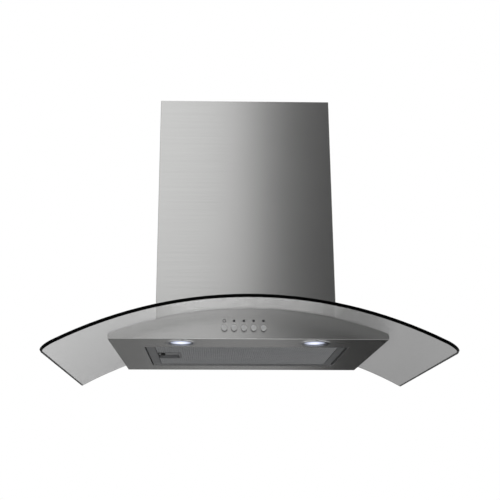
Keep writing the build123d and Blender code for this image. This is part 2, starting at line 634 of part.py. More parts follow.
# Expanded mesh that faces the room, cut away round the finger pocket
with BuildPart() as filter_mesh:
    cell_half_long = (MESH_CELL_LONG - MESH_STRAND) / 2
    cell_half_short = (MESH_CELL_SHORT - MESH_STRAND) / 2
    columns = int((WINDOW_WIDTH - 2 * MESH_MARGIN) / MESH_CELL_LONG)
    rows = int((WINDOW_DEPTH - 2 * MESH_MARGIN) / MESH_CELL_SHORT)
    with BuildSketch(Plane.XY.offset(FILTER_Z + MESH_SETBACK)):
        with Locations((0, OPENING_Y)):
            Rectangle(WINDOW_WIDTH - 2 * PLAY, WINDOW_DEPTH - 2 * PLAY)
            for fewer in (0, 1):
                with GridLocations(MESH_CELL_LONG, MESH_CELL_SHORT, columns - fewer, rows - fewer):
                    Polygon(
                        (-cell_half_long, 0),
                        (0, -cell_half_short),
                        (cell_half_long, 0),
                        (0, cell_half_short),
                        mode=Mode.SUBTRACT,
                    )
        with Locations((POCKET_X, OPENING_Y)):
            Rectangle(POCKET_LENGTH + 2 * POCKET_RIM, POCKET_WIDTH + 2 * POCKET_RIM)
        with Locations((-WINDOW_WIDTH, OPENING_Y)):
            Rectangle(WINDOW_WIDTH + 2 * PLAY, WINDOW_DEPTH, mode=Mode.SUBTRACT)
        with Locations((POCKET_X, OPENING_Y)):
            Rectangle(POCKET_LENGTH + 2 * PLAY, POCKET_WIDTH + 2 * PLAY, mode=Mode.SUBTRACT)
    extrude(amount=MESH_SHEET)
save(filter_mesh, "filter_mesh")

# Pressed layers of mesh that fill the frame behind the face
with BuildPart() as filter_core:
    with BuildSketch(Plane.XY.offset(FILTER_Z + MESH_SETBACK + MESH_SHEET + PLAY)):
        with Locations((0, OPENING_Y)):
            Rectangle(WINDOW_WIDTH - 2 * PLAY, WINDOW_DEPTH - 2 * PLAY)
        with Locations((POCKET_X, OPENING_Y)):
            Rectangle(POCKET_LENGTH + 2 * PLAY, POCKET_WIDTH + 2 * PLAY, mode=Mode.SUBTRACT)
    extrude(amount=FILTER_THICK - MESH_SETBACK - MESH_SHEET - 2 * PLAY)
save(filter_core, "filter_core")

# Finger pocket: a roof and three walls, open to the latch slot on the left
with BuildPart() as latch_pocket:
    with BuildSketch(Plane.XY.offset(FILTER_Z)):
        with Locations((POCKET_X, OPENING_Y)):
            Rectangle(POCKET_LENGTH, POCKET_WIDTH)
    extrude(amount=POCKET_TALL)
    with BuildSketch(Plane.XY.offset(FILTER_Z)):
        with Locations((POCKET_X - POCKET_WALL, OPENING_Y)):
            Rectangle(POCKET_LENGTH, POCKET_WIDTH - 2 * POCKET_WALL)
    extrude(amount=POCKET_TALL - POCKET_WALL, mode=Mode.SUBTRACT)
save(latch_pocket, "latch_pocket")

# Latch: finger knob in the pocket and a flat tongue through the border, drawn back at rest
with BuildPart() as filter_latch:
    tongue_left = -FILTER_WIDTH / 2 + PLAY
    tongue_length = KNOB_X + KNOB_LENGTH / 2 - tongue_left
    with BuildSketch(Plane.XY.offset(LATCH_Z)):
        with Locations((tongue_left + tongue_length / 2, OPENING_Y)):
            Rectangle(tongue_length, LATCH_WIDTH)
    extrude(amount=LATCH_THICK)
    with BuildSketch(Plane.XY.offset(LATCH_Z)):
        with Locations((KNOB_X, OPENING_Y)):
            Rectangle(KNOB_LENGTH, KNOB_WIDTH)
    extrude(amount=FILTER_Z + SEAT - LATCH_Z)
    fillet(filter_latch.faces().sort_by(Axis.Z)[0].edges(), radius=KNOB_EDGE)
save(filter_latch, "filter_latch")

# Rubber between the glass and the saddle
with BuildPart() as saddle_seal:
    with BuildSketch(Plane.XZ.offset(BACK_SHEET + PLAY)):
        bent_strip(GLASS_RADIUS + GLASS_THICK + PLAY / 2, SADDLE_SEAL - PLAY, FAN_WIDTH / 2 + SADDLE_FLANGE)
    extrude(amount=FAN_DEPTH - BACK_SHEET - PLAY)
    cut_air_opening()
    with Locations(*bolt_planes(GLASS_RADIUS + GLASS_THICK)):
        Cylinder(BUSH_RADIUS + PLAY, THROUGH * SADDLE_SEAL, mode=Mode.SUBTRACT)
save(saddle_seal, "saddle_seal")

# Saddle: bent base of the fan box, bolted through the glass to the carrier
with BuildPart() as fan_saddle:
    with BuildSketch(Plane.XZ.offset(BACK_SHEET + PLAY)):
        bent_strip(SADDLE_UNDER, SADDLE_SHEET, FAN_WIDTH / 2 + SADDLE_FLANGE)
    extrude(amount=FAN_DEPTH - BACK_SHEET - PLAY)
    cut_air_opening()
    with Locations(*bolt_planes(SADDLE_UNDER)):
        Cylinder(BOLT_RADIUS + BOLT_PLAY, THROUGH * SADDLE_SHEET, mode=Mode.SUBTRACT)
save(fan_saddle, "fan_saddle")

# Bolts, rubber bushes and nuts through the glass
with BuildPart() as glass_bolts:
    with BuildSketch(*bolt_planes(CARRIER_UNDER - PLAY / 2)):
        RegularPolygon(BOLT_HEAD, 6)
    extrude(amount=-BOLT_HEAD_TALL)
    with BuildSketch(*bolt_planes(CARRIER_UNDER - PLAY / 2)):
        Circle(BOLT_RADIUS)
    extrude(amount=SADDLE_TOP - CARRIER_UNDER + NUT_TALL + BOLT_END)
save(glass_bolts, "glass_bolts")

with BuildPart() as glass_bushes:
    with BuildSketch(*bolt_planes(GLASS_RADIUS - SEAL + PLAY)):
        Circle(BUSH_RADIUS)
        Circle(BOLT_RADIUS + BOLT_PLAY, mode=Mode.SUBTRACT)
    extrude(amount=SEAL + GLASS_THICK + SADDLE_SEAL - 2 * PLAY)
save(glass_bushes, "glass_bushes")

with BuildPart() as glass_nuts:
    with BuildSketch(*bolt_planes(SADDLE_TOP + PLAY)):
        RegularPolygon(BOLT_HEAD, 6)
        Circle(BOLT_RADIUS + BOLT_PLAY, mode=Mode.SUBTRACT)
    extrude(amount=NUT_TALL - PLAY)
save(glass_nuts, "glass_nuts")

# Back plate that hangs on the wall: two holes above the fan box, and two ribs pressed into the room side
with BuildPart() as back_plate:
    with BuildSketch(Plane.XZ):
        with Locations((0, HANG_EAR)):
            Rectangle(FAN_WIDTH, HANG_EAR - BOTTOM, align=FROM_WALL)
        with GridLocations(HANG_SPACING, 0, 2, 1):
            Circle(HANG_HOLE, mode=Mode.SUBTRACT)
    extrude(amount=BACK_SHEET)
    trim_to_glass(GLASS_RADIUS + GLASS_THICK + SEAT, FAN_WIDTH / 2 + SHEET)
    for face_y, press in ((BACK_SHEET, Mode.ADD), (0, Mode.SUBTRACT)):
        with BuildSketch(Plane.XZ.offset(face_y)):
            with Locations((0, BACK_RIB_Z)):
                with GridLocations(BACK_RIB_SPACING, 0, 2, 1):
                    SlotOverall(BACK_RIB_LENGTH, BACK_RIB_WIDTH, rotation=90)
        extrude(amount=BACK_RIB_DEEP, taper=BACK_RIB_TAPER, mode=press)
save(back_plate, "back_plate")

# Fan box: front and sides folded from one sheet, and a top with the outlet cut through it
with BuildPart() as fan_box_wrap:
    with BuildSketch(Plane.XY.offset(BOTTOM)):
        with Locations((0, -BACK_SHEET)):
            inner_depth = FAN_DEPTH - BACK_SHEET - SHEET
            Rectangle(FAN_WIDTH, FAN_DEPTH - BACK_SHEET, align=FROM_WALL)
            Rectangle(FAN_WIDTH - 2 * SHEET, inner_depth, align=FROM_WALL, mode=Mode.SUBTRACT)
    extrude(amount=FAN_HEIGHT)
    trim_to_glass(SADDLE_TOP + SEAT, FAN_WIDTH / 2 + SHEET)
save(fan_box_wrap, "fan_box_wrap")

with BuildPart() as fan_box_top:
    with BuildSketch(Plane.XY.offset(FAN_TOP_Z)):
        with Locations((0, -BACK_SHEET)):
            Rectangle(FAN_WIDTH, FAN_DEPTH - BACK_SHEET, align=FROM_WALL)
        with Locations((0, OUTLET_Y)):
            Rectangle(OUTLET_WIDTH, OUTLET_DEPTH, mode=Mode.SUBTRACT)
        cut_adapter_holes()
    extrude(amount=SHEET)
save(fan_box_top, "fan_box_top")


def wheel_plane(x):
    """A plane across the blower's axis, whose own axes run to the wall and up."""
    return Plane(origin=(x, WHEEL_Y, WHEEL_Z), x_dir=(0, 1, 0), z_dir=(1, 0, 0))


def scroll_line():
    """Draws the wall of the scroll: three quarter arcs of growing radius and a straight outlet."""
    front = -(SCROLL_STEP + FRONT_RADIUS)
    down = Line((front, SCROLL_RISE), (front, 0))
    lower_front = JernArc(down @ 1, (0, -1), FRONT_RADIUS, 90)
    lower_rear = JernArc(lower_front @ 1, (1, 0), LOWER_RADIUS, 90)
    upper_rear = JernArc(lower_rear @ 1, (0, 1), REAR_RADIUS, 90)
    tongue = JernArc(upper_rear @ 1, (-1, 0), TONGUE_RADIUS, -90)
    up = Line(tongue @ 1, (-TONGUE_RADIUS, SCROLL_RISE))
    return down @ 0, up @ 1


# Scroll housing: wrapper and two side plates with rolled inlets
with BuildPart() as scroll_wrapper:
    with BuildSketch(wheel_plane(-SCROLL_HALF)):
        with BuildLine():
            scroll_line()
        trace(line_width=SCROLL_SHEET)
    extrude(amount=2 * SCROLL_HALF)
save(scroll_wrapper, "scroll_wrapper")

for side, name in ((-1, "left"), (1, "right")):
    with BuildPart() as scroll_side:
        with BuildSketch(wheel_plane(side * SCROLL_HALF)):
            with BuildLine():
                outlet_front, outlet_rear = scroll_line()
                Line(outlet_rear, outlet_front)
            make_face()
        extrude(amount=side * SCROLL_SHEET)
        with BuildSketch(wheel_plane(side * SCROLL_HALF)):
            Circle(INLET_RADIUS + SCROLL_SHEET)
        extrude(amount=-side * INLET_COLLAR)
        with BuildSketch(wheel_plane(side * (SCROLL_HALF - INLET_COLLAR))):
            Circle(INLET_RADIUS)
        extrude(amount=side * (INLET_COLLAR + SCROLL_SHEET), mode=Mode.SUBTRACT)
    save(scroll_side, f"scroll_side_{name}")

# One forward-curved blade, in the wheel's plane
with BuildSketch() as blade:
    with BuildLine():
        root = (WHEEL_BORE, 0)
        tip = (WHEEL_RADIUS - BLADE_THICK, BLADE_SWEEP)
        middle = ((WHEEL_BORE + WHEEL_RADIUS) / 2 + BLADE_BOW, BLADE_SWEEP / 2 - BLADE_BOW)
        hollow = ThreePointArc(root, middle, tip)
        back = ThreePointArc(
            (root[0], root[1] - BLADE_THICK),
            (middle[0], middle[1] - BLADE_THICK),
            (tip[0], tip[1] - BLADE_THICK),
        )
        Line(hollow @ 0, back @ 0)
        Line(hollow @ 1, back @ 1)
    make_face()

# Squirrel-cage wheel: blades, two end rings, a middle plate and the hub
with BuildPart() as impeller:
    with BuildSketch(wheel_plane(-WHEEL_WIDTH / 2)):
        with PolarLocations(0, BLADE_COUNT):
            add(blade.sketch)
    extrude(amount=WHEEL_WIDTH)
    with BuildSketch(wheel_plane(-WHEEL_WIDTH / 2), wheel_plane(WHEEL_WIDTH / 2 - WHEEL_PLATE)):
        Circle(WHEEL_RADIUS)
        Circle(WHEEL_BORE - WHEEL_RING_LAP, mode=Mode.SUBTRACT)
    extrude(amount=WHEEL_PLATE)
    with BuildSketch(wheel_plane(-WHEEL_PLATE / 2)):
        Circle(WHEEL_RADIUS)
    extrude(amount=WHEEL_PLATE)
    with BuildSketch(wheel_plane(WHEEL_PLATE / 2)):
        Circle(HUB_RADIUS)
    extrude(amount=-HUB_LENGTH)
    with BuildSketch(wheel_plane(WHEEL_PLATE / 2)):
        Circle(SHAFT_RADIUS + SHAFT_PLAY)
    extrude(amount=-HUB_LENGTH, mode=Mode.SUBTRACT)
save(impeller, "impeller")

# Shaft from the hub into the motor
with BuildPart() as motor_shaft:
    with BuildSketch(wheel_plane(WHEEL_PLATE / 2 - HUB_LENGTH)):
        Circle(SHAFT_RADIUS)
    extrude(amount=FLANGE_X + HUB_LENGTH)
save(motor_shaft, "motor_shaft")

# Motor: turned body with rounded ends, a flange on its bracket and cooling slots in its outer end
with BuildPart() as motor:
    with BuildSketch(upright_plane(0, WHEEL_Y, WHEEL_Z)):
        motor_end = FLANGE_X + MOTOR_OUT
        with BuildLine():
            Polyline(
                (MOTOR_IN, SHAFT_RADIUS + SHAFT_PLAY),
                (MOTOR_IN, MOTOR_RADIUS),
                (FLANGE_X, MOTOR_RADIUS),
                (FLANGE_X, MOTOR_RADIUS + MOTOR_FLANGE),
                (FLANGE_X + MOTOR_FLANGE_THICK, MOTOR_RADIUS + MOTOR_FLANGE),
                (FLANGE_X + MOTOR_FLANGE_THICK, MOTOR_RADIUS),
                (motor_end, MOTOR_RADIUS),
                (motor_end, 0),
                (FLANGE_X + MOTOR_FLANGE_THICK, 0),
                (FLANGE_X + MOTOR_FLANGE_THICK, SHAFT_RADIUS + SHAFT_PLAY),
                close=True,
            )
        make_face()
    revolve(axis=Axis((0, WHEEL_Y, WHEEL_Z), (1, 0, 0)))
    motor_rims = motor.edges().filter_by(GeomType.CIRCLE).group_by(Axis.X)
    fillet(motor_rims[0].sort_by(SortBy.RADIUS)[-1], radius=MOTOR_EDGE)
    fillet(motor_rims[-1].sort_by(SortBy.RADIUS)[-1], radius=MOTOR_EDGE)
    with BuildSketch(wheel_plane(motor_end)):
        with PolarLocations(MOTOR_VENT_CIRCLE, MOTOR_VENTS):
            SlotOverall(MOTOR_VENT_LENGTH, MOTOR_VENT_WIDTH)
    extrude(amount=-MOTOR_VENT_DEEP, mode=Mode.SUBTRACT)
save(motor, "motor")

# Bracket: a rim on the side plate and arms to the ring that holds the motor
with BuildPart() as motor_bracket:
    with BuildSketch(wheel_plane(BRACKET_X)):
        rim_bore = INLET_RADIUS + SCROLL_SHEET
        Circle(rim_bore + BRACKET_RIM)
        Circle(rim_bore, mode=Mode.SUBTRACT)
        with PolarLocations((MOTOR_RADIUS + rim_bore) / 2, BRACKET_ARMS):
            Rectangle(rim_bore - MOTOR_RADIUS + BRACKET_RIM, BRACKET_ARM)
        Circle(MOTOR_RADIUS + MOTOR_FLANGE)
        Circle(MOTOR_RADIUS + SEAT, mode=Mode.SUBTRACT)
    extrude(amount=BRACKET_SHEET)
save(motor_bracket, "motor_bracket")

# Screws that hold the motor's flange to its bracket
with BuildPart() as motor_screws:
    with BuildSketch(wheel_plane(FLANGE_X + MOTOR_FLANGE_THICK)):
        with PolarLocations(MOTOR_RADIUS + MOTOR_FLANGE / 2, BRACKET_ARMS):
            Circle(MOTOR_SCREW_HEAD)
    extrude(amount=MOTOR_SCREW_TALL)
    fillet(motor_screws.faces().sort_by(Axis.X)[-BRACKET_ARMS:].edges(), radius=MOTOR_SCREW_EDGE)
save(motor_screws, "motor_screws")

# Outlet adapter: a flange on the fan box that blends from the outlet's rectangle to the round collar
with BuildPart() as outlet_adapter:
    with BuildSketch(Plane.XY.offset(DECK_Z)):
        with Locations((0, OUTLET_Y)):
            Rectangle(OUTLET_WIDTH + 2 * ADAPTER_FLANGE, OUTLET_DEPTH + 2 * ADAPTER_FLANGE)
        cut_adapter_holes()
    extrude(amount=ADAPTER_FLANGE_THICK)
    for wall, blend in ((COLLAR_WALL, Mode.ADD), (0, Mode.SUBTRACT)):
        with BuildSketch(Plane.XY.offset(DECK_Z)):
            with Locations((0, OUTLET_Y)):
                Rectangle(OUTLET_WIDTH + 2 * wall, OUTLET_DEPTH + 2 * wall)
        with BuildSketch(Plane.XY.offset(COLLAR_Z)):
            with Locations((0, COLLAR_Y)):
                Circle(COLLAR_RADIUS - COLLAR_WALL + wall)
        loft(mode=blend)
save(outlet_adapter, "outlet_adapter")

# Duct collar with the ledge that the flaps close on and the holes for their pins
with BuildPart() as duct_collar:
    with BuildSketch(Plane.XY.offset(COLLAR_Z)):
        with Locations((0, COLLAR_Y)):
            Circle(COLLAR_RADIUS)
            Circle(COLLAR_RADIUS - COLLAR_WALL, mode=Mode.SUBTRACT)
    extrude(amount=COLLAR_TALL)
    ledge_top = FLAP_Z - FLAP_THICK / 2 - SEAT
    with BuildSketch(Plane.XY.offset(ledge_top)):
        with Locations((0, COLLAR_Y)):
            Circle(COLLAR_RADIUS - COLLAR_WALL / 2)
            Circle(COLLAR_RADIUS - COLLAR_WALL - LEDGE_WIDTH, mode=Mode.SUBTRACT)
    extrude(amount=-LEDGE_TALL)
    for side in (-1, 1):
        pin_line = Plane(origin=(0, COLLAR_Y + side * FLAP_AXIS_APART / 2, FLAP_Z), z_dir=(1, 0, 0))
        with Locations(pin_line):
            Cylinder(FLAP_PIN + FLAP_PIN_PLAY, 3 * COLLAR_RADIUS, mode=Mode.SUBTRACT)
            ledge_bore = 2 * (COLLAR_RADIUS - COLLAR_WALL)
            Cylinder(FLAP_BARREL + SEAT, ledge_bore, mode=Mode.SUBTRACT)
save(duct_collar, "duct_collar")

# Non-return flaps: ribbed half discs, each on a barrel with a pin at both ends
for side, name in ((-1, "front"), (1, "rear")):
    axis_y = COLLAR_Y + side * FLAP_AXIS_APART / 2
    flap_bore = COLLAR_RADIUS - COLLAR_WALL - FLAP_GAP
    with BuildPart() as damper_flap:
        with BuildSketch(Plane.XY.offset(FLAP_Z - FLAP_THICK / 2)):
            with Locations((0, COLLAR_Y)):
                Circle(flap_bore)
            with Locations((0, axis_y - side * flap_bore)):
                Rectangle(3 * flap_bore, 2 * flap_bore, mode=Mode.SUBTRACT)
        extrude(amount=FLAP_THICK)
        barrel_half = sqrt(flap_bore**2 - (FLAP_AXIS_APART / 2 + FLAP_BARREL) ** 2)
        with Locations(Plane(origin=(0, axis_y, FLAP_Z), z_dir=(1, 0, 0))):
            Cylinder(FLAP_BARREL, 2 * barrel_half)
            Cylinder(FLAP_PIN, 2 * (COLLAR_RADIUS - COLLAR_WALL / 2))
        with BuildSketch(Plane.XY.offset(FLAP_Z + FLAP_THICK / 2)):
            with Locations((0, axis_y + side * flap_bore / 2)):
                with GridLocations(FLAP_RIB_PITCH, 0, FLAP_RIBS, 1):
                    Rectangle(FLAP_RIB_WIDTH, flap_bore)
            with Locations((0, COLLAR_Y)):
                Circle(flap_bore - FLAP_RIB_INSET, mode=Mode.INTERSECT)
        extrude(amount=FLAP_RIB_TALL)
    save(damper_flap, f"damper_flap_{name}")


def lid_screw_spots():
    """Places of the lid's two screws, at opposite corners of the junction box."""
    return [(JUNCTION_X + turn * LID_SCREW_X, ELECTRICS_Y + turn * LID_SCREW_Y) for turn in (-1, 1)]


# Junction box with two screw bosses, its lid and the gland for the supply lead
with BuildPart() as junction_box:
    with BuildSketch(Plane.XY.offset(DECK_Z)):
        with Locations((JUNCTION_X, ELECTRICS_Y)):
            RectangleRounded(JUNCTION_WIDTH, JUNCTION_DEPTH, JUNCTION_CORNER)
    extrude(amount=JUNCTION_TALL)
    open_top = junction_box.faces().sort_by(Axis.Z)[-1]
    offset(amount=-JUNCTION_WALL, openings=open_top)
    with BuildSketch(Plane.XY.offset(DECK_Z)):
        with Locations(*lid_screw_spots()):
            Circle(LID_SCREW_BOSS)
    extrude(amount=JUNCTION_TALL)
    with BuildSketch(Plane.XY.offset(DECK_Z + JUNCTION_TALL)):
        with Locations(*lid_screw_spots()):
            Circle(LID_SCREW)
    extrude(amount=-JUNCTION_TALL / 2, mode=Mode.SUBTRACT)
    gland_plane = Plane(
        origin=(JUNCTION_X - JUNCTION_WIDTH / 2, ELECTRICS_Y, DECK_Z + JUNCTION_TALL / 2), z_dir=(-1, 0, 0)
    )
    with Locations(gland_plane):
        Cylinder(GLAND_BORE + JUNCTION_WALL, THROUGH * JUNCTION_WALL, mode=Mode.SUBTRACT)
save(junction_box, "junction_box")

with BuildPart() as junction_lid:
    with BuildSketch(Plane.XY.offset(DECK_Z + JUNCTION_TALL)):
        with Locations((JUNCTION_X, ELECTRICS_Y)):
            RectangleRounded(JUNCTION_WIDTH, JUNCTION_DEPTH, JUNCTION_CORNER)
    extrude(amount=JUNCTION_LID)
    lid_top = junction_lid.faces().sort_by(Axis.Z)[-1]
    chamfer(lid_top.edges(), length=JUNCTION_LID_EDGE)
    with BuildSketch(Plane.XY.offset(DECK_Z + JUNCTION_TALL)):
        with Locations(*lid_screw_spots()):
            Circle(LID_SCREW + BOLT_PLAY)
    extrude(amount=JUNCTION_LID, mode=Mode.SUBTRACT)
    with BuildSketch(Plane.XY.offset(DECK_Z + JUNCTION_TALL + JUNCTION_LID)):
        with Locations(*lid_screw_spots()):
            Circle(LID_SCREW_HEAD + BOLT_PLAY)
    extrude(amount=-LID_SCREW_SINK, mode=Mode.SUBTRACT)
save(junction_lid, "junction_lid")

with BuildPart() as cable_gland:
    with BuildSketch(gland_plane):
        RegularPolygon(GLAND_RADIUS, 6)
    extrude(amount=GLAND_REACH / 2)
    with BuildSketch(gland_plane.offset(GLAND_REACH / 2)):
        Circle(GLAND_RADIUS - JUNCTION_WALL)
    extrude(amount=GLAND_REACH / 2, taper=GLAND_TAPER)
    with BuildSketch(gland_plane):
        Circle(GLAND_BORE + JUNCTION_WALL - PLAY)
    extrude(amount=-JUNCTION_WALL)
    with BuildSketch(gland_plane.offset(GLAND_REACH)):
        Circle(GLAND_BORE)
    extrude(amount=-(GLAND_REACH + JUNCTION_WALL), mode=Mode.SUBTRACT)
save(cable_gland, "cable_gland")

# Motor capacitor, lying on the fan box under a strap clip
with BuildPart() as capacitor:
    with BuildSketch(upright_plane(-JUNCTION_X, ELECTRICS_Y + CAPACITOR_LENGTH / 2, CAPACITOR_Z)):
        Circle(CAPACITOR_RADIUS)
    extrude(amount=CAPACITOR_LENGTH)
    fillet(capacitor.edges().filter_by(GeomType.CIRCLE), radius=CAPACITOR_EDGE)
save(capacitor, "capacitor")

with BuildPart() as capacitor_clip:
    clip_inner = CAPACITOR_RADIUS + SEAT
    clip_outer = clip_inner + CLIP_SHEET
    with BuildSketch(upright_plane(-JUNCTION_X, ELECTRICS_Y + CLIP_WIDTH / 2, CAPACITOR_Z)):
        Circle(clip_outer)
        with Locations((0, -clip_inner)):
            Rectangle(2 * clip_outer, clip_inner, align=(Align.CENTER, Align.MIN))
            Rectangle(2 * (clip_outer + CLIP_FOOT), CLIP_SHEET, align=(Align.CENTER, Align.MIN))
        Circle(clip_inner, mode=Mode.SUBTRACT)
        with Locations((0, -clip_outer)):
            Rectangle(2 * clip_inner, clip_outer, align=(Align.CENTER, Align.MIN), mode=Mode.SUBTRACT)
    extrude(amount=CLIP_WIDTH)
save(capacitor_clip, "capacitor_clip")

# Lower chimney cover, standing on the glass
with BuildPart() as chimney_cover:
    with BuildSketch(Plane.XY.offset(BOTTOM)):
        folded_plan(CHIMNEY_WIDTH, CHIMNEY_DEPTH, 0)
    extrude(amount=CHIMNEY_HEIGHT)
    front_folds = chimney_cover.edges().filter_by(Axis.Z).group_by(Axis.Y)[0]
    fillet(front_folds, radius=CHIMNEY_BEND)
    trim_to_glass(GLASS_RADIUS + GLASS_THICK + SEAT, CHIMNEY_WIDTH / 2 + SHEET)
    with Locations(Plane(origin=(0, SHELF_Y, COVER_SCREW_Z), z_dir=(1, 0, 0))):
        Cylinder(COVER_SCREW + BOLT_PLAY, 2 * CHIMNEY_WIDTH, mode=Mode.SUBTRACT)
save(chimney_cover, "chimney_cover")

# Upper chimney cover, stowed inside the lower one
with BuildPart() as upper_chimney:
    with BuildSketch(Plane.XY.offset(UPPER_Z)):
        folded_plan(UPPER_WIDTH, UPPER_DEPTH, UPPER_REAR)
    extrude(amount=UPPER_TALL)
save(upper_chimney, "upper_chimney")

# Shelf brackets from the fan box to the lower cover, which also carry the stowed upper cover
with BuildPart() as cover_brackets:
    shelf_end = CHIMNEY_WIDTH / 2 - SHEET - PLAY
    for side, outward, inward in ((-1, Align.MAX, Align.MIN), (1, Align.MIN, Align.MAX)):
        with BuildSketch(upright_plane(0, SHELF_Y + SHELF_WIDTH / 2, UPPER_Z - SEAT)):
            with Locations((side * FAN_WIDTH / 2, 0)):
                Rectangle(SHEET, SHELF_TAB, align=(outward, Align.MAX))
            with Locations((side * (FAN_WIDTH / 2 + shelf_end) / 2, 0)):
                Rectangle(shelf_end - FAN_WIDTH / 2, SHEET, align=FROM_WALL)
            with Locations((side * shelf_end, 0)):
                Rectangle(SHEET, SHELF_TAB, align=(inward, Align.MAX))
        extrude(amount=SHELF_WIDTH)
    with Locations(Plane(origin=(0, SHELF_Y, COVER_SCREW_Z), z_dir=(1, 0, 0))):
        Cylinder(COVER_SCREW + BOLT_PLAY, 2 * CHIMNEY_WIDTH, mode=Mode.SUBTRACT)
save(cover_brackets, "cover_brackets")

# Screws through the lower cover into the brackets
with BuildPart() as cover_screws:
    for side in (-1, 1):
        head_plane = Plane(origin=(side * CHIMNEY_WIDTH / 2, SHELF_Y, COVER_SCREW_Z), z_dir=(side, 0, 0))
        with BuildSketch(head_plane):
            Circle(COVER_SCREW_HEAD)
        extrude(amount=COVER_SCREW_HEAD_TALL, taper=COVER_SCREW_TAPER)
        with BuildSketch(head_plane):
            Circle(COVER_SCREW)
        extrude(amount=-COVER_SCREW_LENGTH)
save(cover_screws, "cover_screws")
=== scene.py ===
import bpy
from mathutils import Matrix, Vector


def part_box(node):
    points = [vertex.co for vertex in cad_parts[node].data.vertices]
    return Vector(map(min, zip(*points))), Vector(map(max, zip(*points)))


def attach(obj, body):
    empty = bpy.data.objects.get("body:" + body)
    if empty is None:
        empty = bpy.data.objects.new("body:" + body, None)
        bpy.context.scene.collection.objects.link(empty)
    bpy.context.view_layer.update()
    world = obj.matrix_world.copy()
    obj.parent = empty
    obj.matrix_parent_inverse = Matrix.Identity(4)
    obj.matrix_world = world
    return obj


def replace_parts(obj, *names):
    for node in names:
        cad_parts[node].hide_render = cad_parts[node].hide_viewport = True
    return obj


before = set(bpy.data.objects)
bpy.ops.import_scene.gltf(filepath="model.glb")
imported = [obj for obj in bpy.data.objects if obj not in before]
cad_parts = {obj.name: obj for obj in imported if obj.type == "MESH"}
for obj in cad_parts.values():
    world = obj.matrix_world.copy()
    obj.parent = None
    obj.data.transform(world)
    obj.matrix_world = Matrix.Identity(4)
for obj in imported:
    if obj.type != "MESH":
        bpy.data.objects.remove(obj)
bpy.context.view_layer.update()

import math

import bmesh
import bpy
from bpy.props import FloatProperty, FloatVectorProperty, PointerProperty
from bpy.types import Operator, Panel, PropertyGroup
from mathutils import Vector

bl_info = {
    "name": "Curved Range Hood",
    "version": (1, 0, 0),
    "blender": (4, 5, 0),
    "location": "View3D > Sidebar > Hood",
    "description": "Dresses the solids of a wall-hung range hood with bent glass, and sets its studio",
    "category": "Object",
}

MM = 0.001
BUTTONS = ("button_1", "button_2", "button_3", "button_4", "button_5")
WHITE = (1.0, 1.0, 1.0, 1.0)
# Keeps X and Y of a place, and drops its height.
PLAN = (1.0, 1.0, 0.0)
# Sides of a small round form, such as a mark or a screw head.
ROUND_SIDES = 32
# The mix node's first and second input and its output, for each kind of value.
MIX_SOCKETS = {"FLOAT": (2, 3, 0), "VECTOR": (4, 5, 1), "RGBA": (6, 7, 2)}


def linear(code):
    """Turns an sRGB hex colour into the linear values that shaders take."""
    channels = [int(code[start:start + 2], 16) / 255 for start in (1, 3, 5)]
    bent = [c / 12.92 if c <= 0.04045 else ((c + 0.055) / 1.055) ** 2.4 for c in channels]
    return (*bent, 1.0)


def colour(label, about, code):
    """A colour that the user can change."""
    return FloatVectorProperty(
        name=label, description=about, subtype="COLOR", size=4, min=0.0, max=1.0, default=linear(code)
    )


def length(label, about, default):
    """A length in metres that the user can change."""
    return FloatProperty(name=label, description=about, default=default, unit="LENGTH", precision=5)


def angle(label, about, degrees):
    """An angle that the user can change."""
    return FloatProperty(name=label, description=about, default=math.radians(degrees), subtype="ANGLE")


class HoodSizes(PropertyGroup):
    """Sizes of what is modelled here."""

    mark_size: length("Mark size", "Side of the small printed square over a button", 4.4 * MM)
    mark_rise: length("Mark rise", "Height of the marks above the middle of the buttons", 14.9 * MM)
    mark_line: length("Mark line", "Line width of the round mark", 1.1 * MM)
    mark_thick: length("Mark thickness", "How far the ink stands off the panel", 0.06 * MM)
    # The black collar behind the cap is painted shade.
    cap_depth: length("Cap depth", "Depth of a button's metal cap, in front of its black collar", 1.6 * MM)
    # The band along the glass's edges is painted shade.
    edge_shade_band: length("Glass edge band", "Ground band along the front and ends of the glass", 2.8 * MM)
    edge_corner: length("Glass corner", "Radius of the front corners of the glass", 30.0 * MM)
    cell_long: length("Mesh cell length", "Long way of one diamond in the filter's face", 9.0 * MM)
    cell_short: length("Mesh cell width", "Short way of one diamond in the filter's face", 5.5 * MM)
    strand: length("Mesh strand", "Width of one strand of the filter's face", 1.0 * MM)
    pocket_rim: length("Pocket rim", "Width of the rim round the finger pocket", 3.0 * MM)
    chip: length("Light chip", "Radius of the yellow chip on a light board", 8.0 * MM)
    flange_head: length("Flange screw head", "Radius of the screw heads on the outlet flange", 3.6 * MM)
    flange_inset: length("Flange screw inset", "Flange screws from the front of the flange", 6.0 * MM)
    flange_row: length("Flange screw row", "Flange screws from side to side", 132.0 * MM)
    flange_reach: length("Flange screw reach", "Flange screws from front to back", 114.8 * MM)
    flange_thick: length("Flange thickness", "Outlet flange under the screw heads", 2.5 * MM)
    lid_head: length("Lid screw head", "Radius of the screw heads in the junction lid", 2.7 * MM)
    lid_inset: length("Lid screw inset", "Lid screws from the sides of the lid", 5.0 * MM)
    head_tall: length("Screw head height", "Height of the small screw heads", 1.7 * MM)


class HoodFinishes(PropertyGroup):
    """Colours of the hood's finishes."""

    steel: colour("Stainless", "Brushed stainless sheet", "#d0d0cf")
    glass: colour("Glass tint", "Light that the grey glass lets through", "#b4b4b2")
    # The glass edge colour is painted shade, for the light that an edge loses into the sheet.
    glass_edge_shade: colour("Glass edge", "Ground edges of the glass", "#0b0c0c")
    zinc: colour("Galvanised", "Galvanised sheet", "#b4b8ba")
    chrome: colour("Chrome", "Chrome plate of the bezels", "#e2e3e5")
    button: colour("Buttons", "Satin chrome of the push buttons", "#e8e8e8")
    aluminium: colour("Aluminium", "Filter frame and mesh", "#939496")
    black: colour("Black plastic", "Moulded black plastic", "#121213")
    lamp: colour("Lamp light", "Colour of the lit lamps", "#dfe4ff")


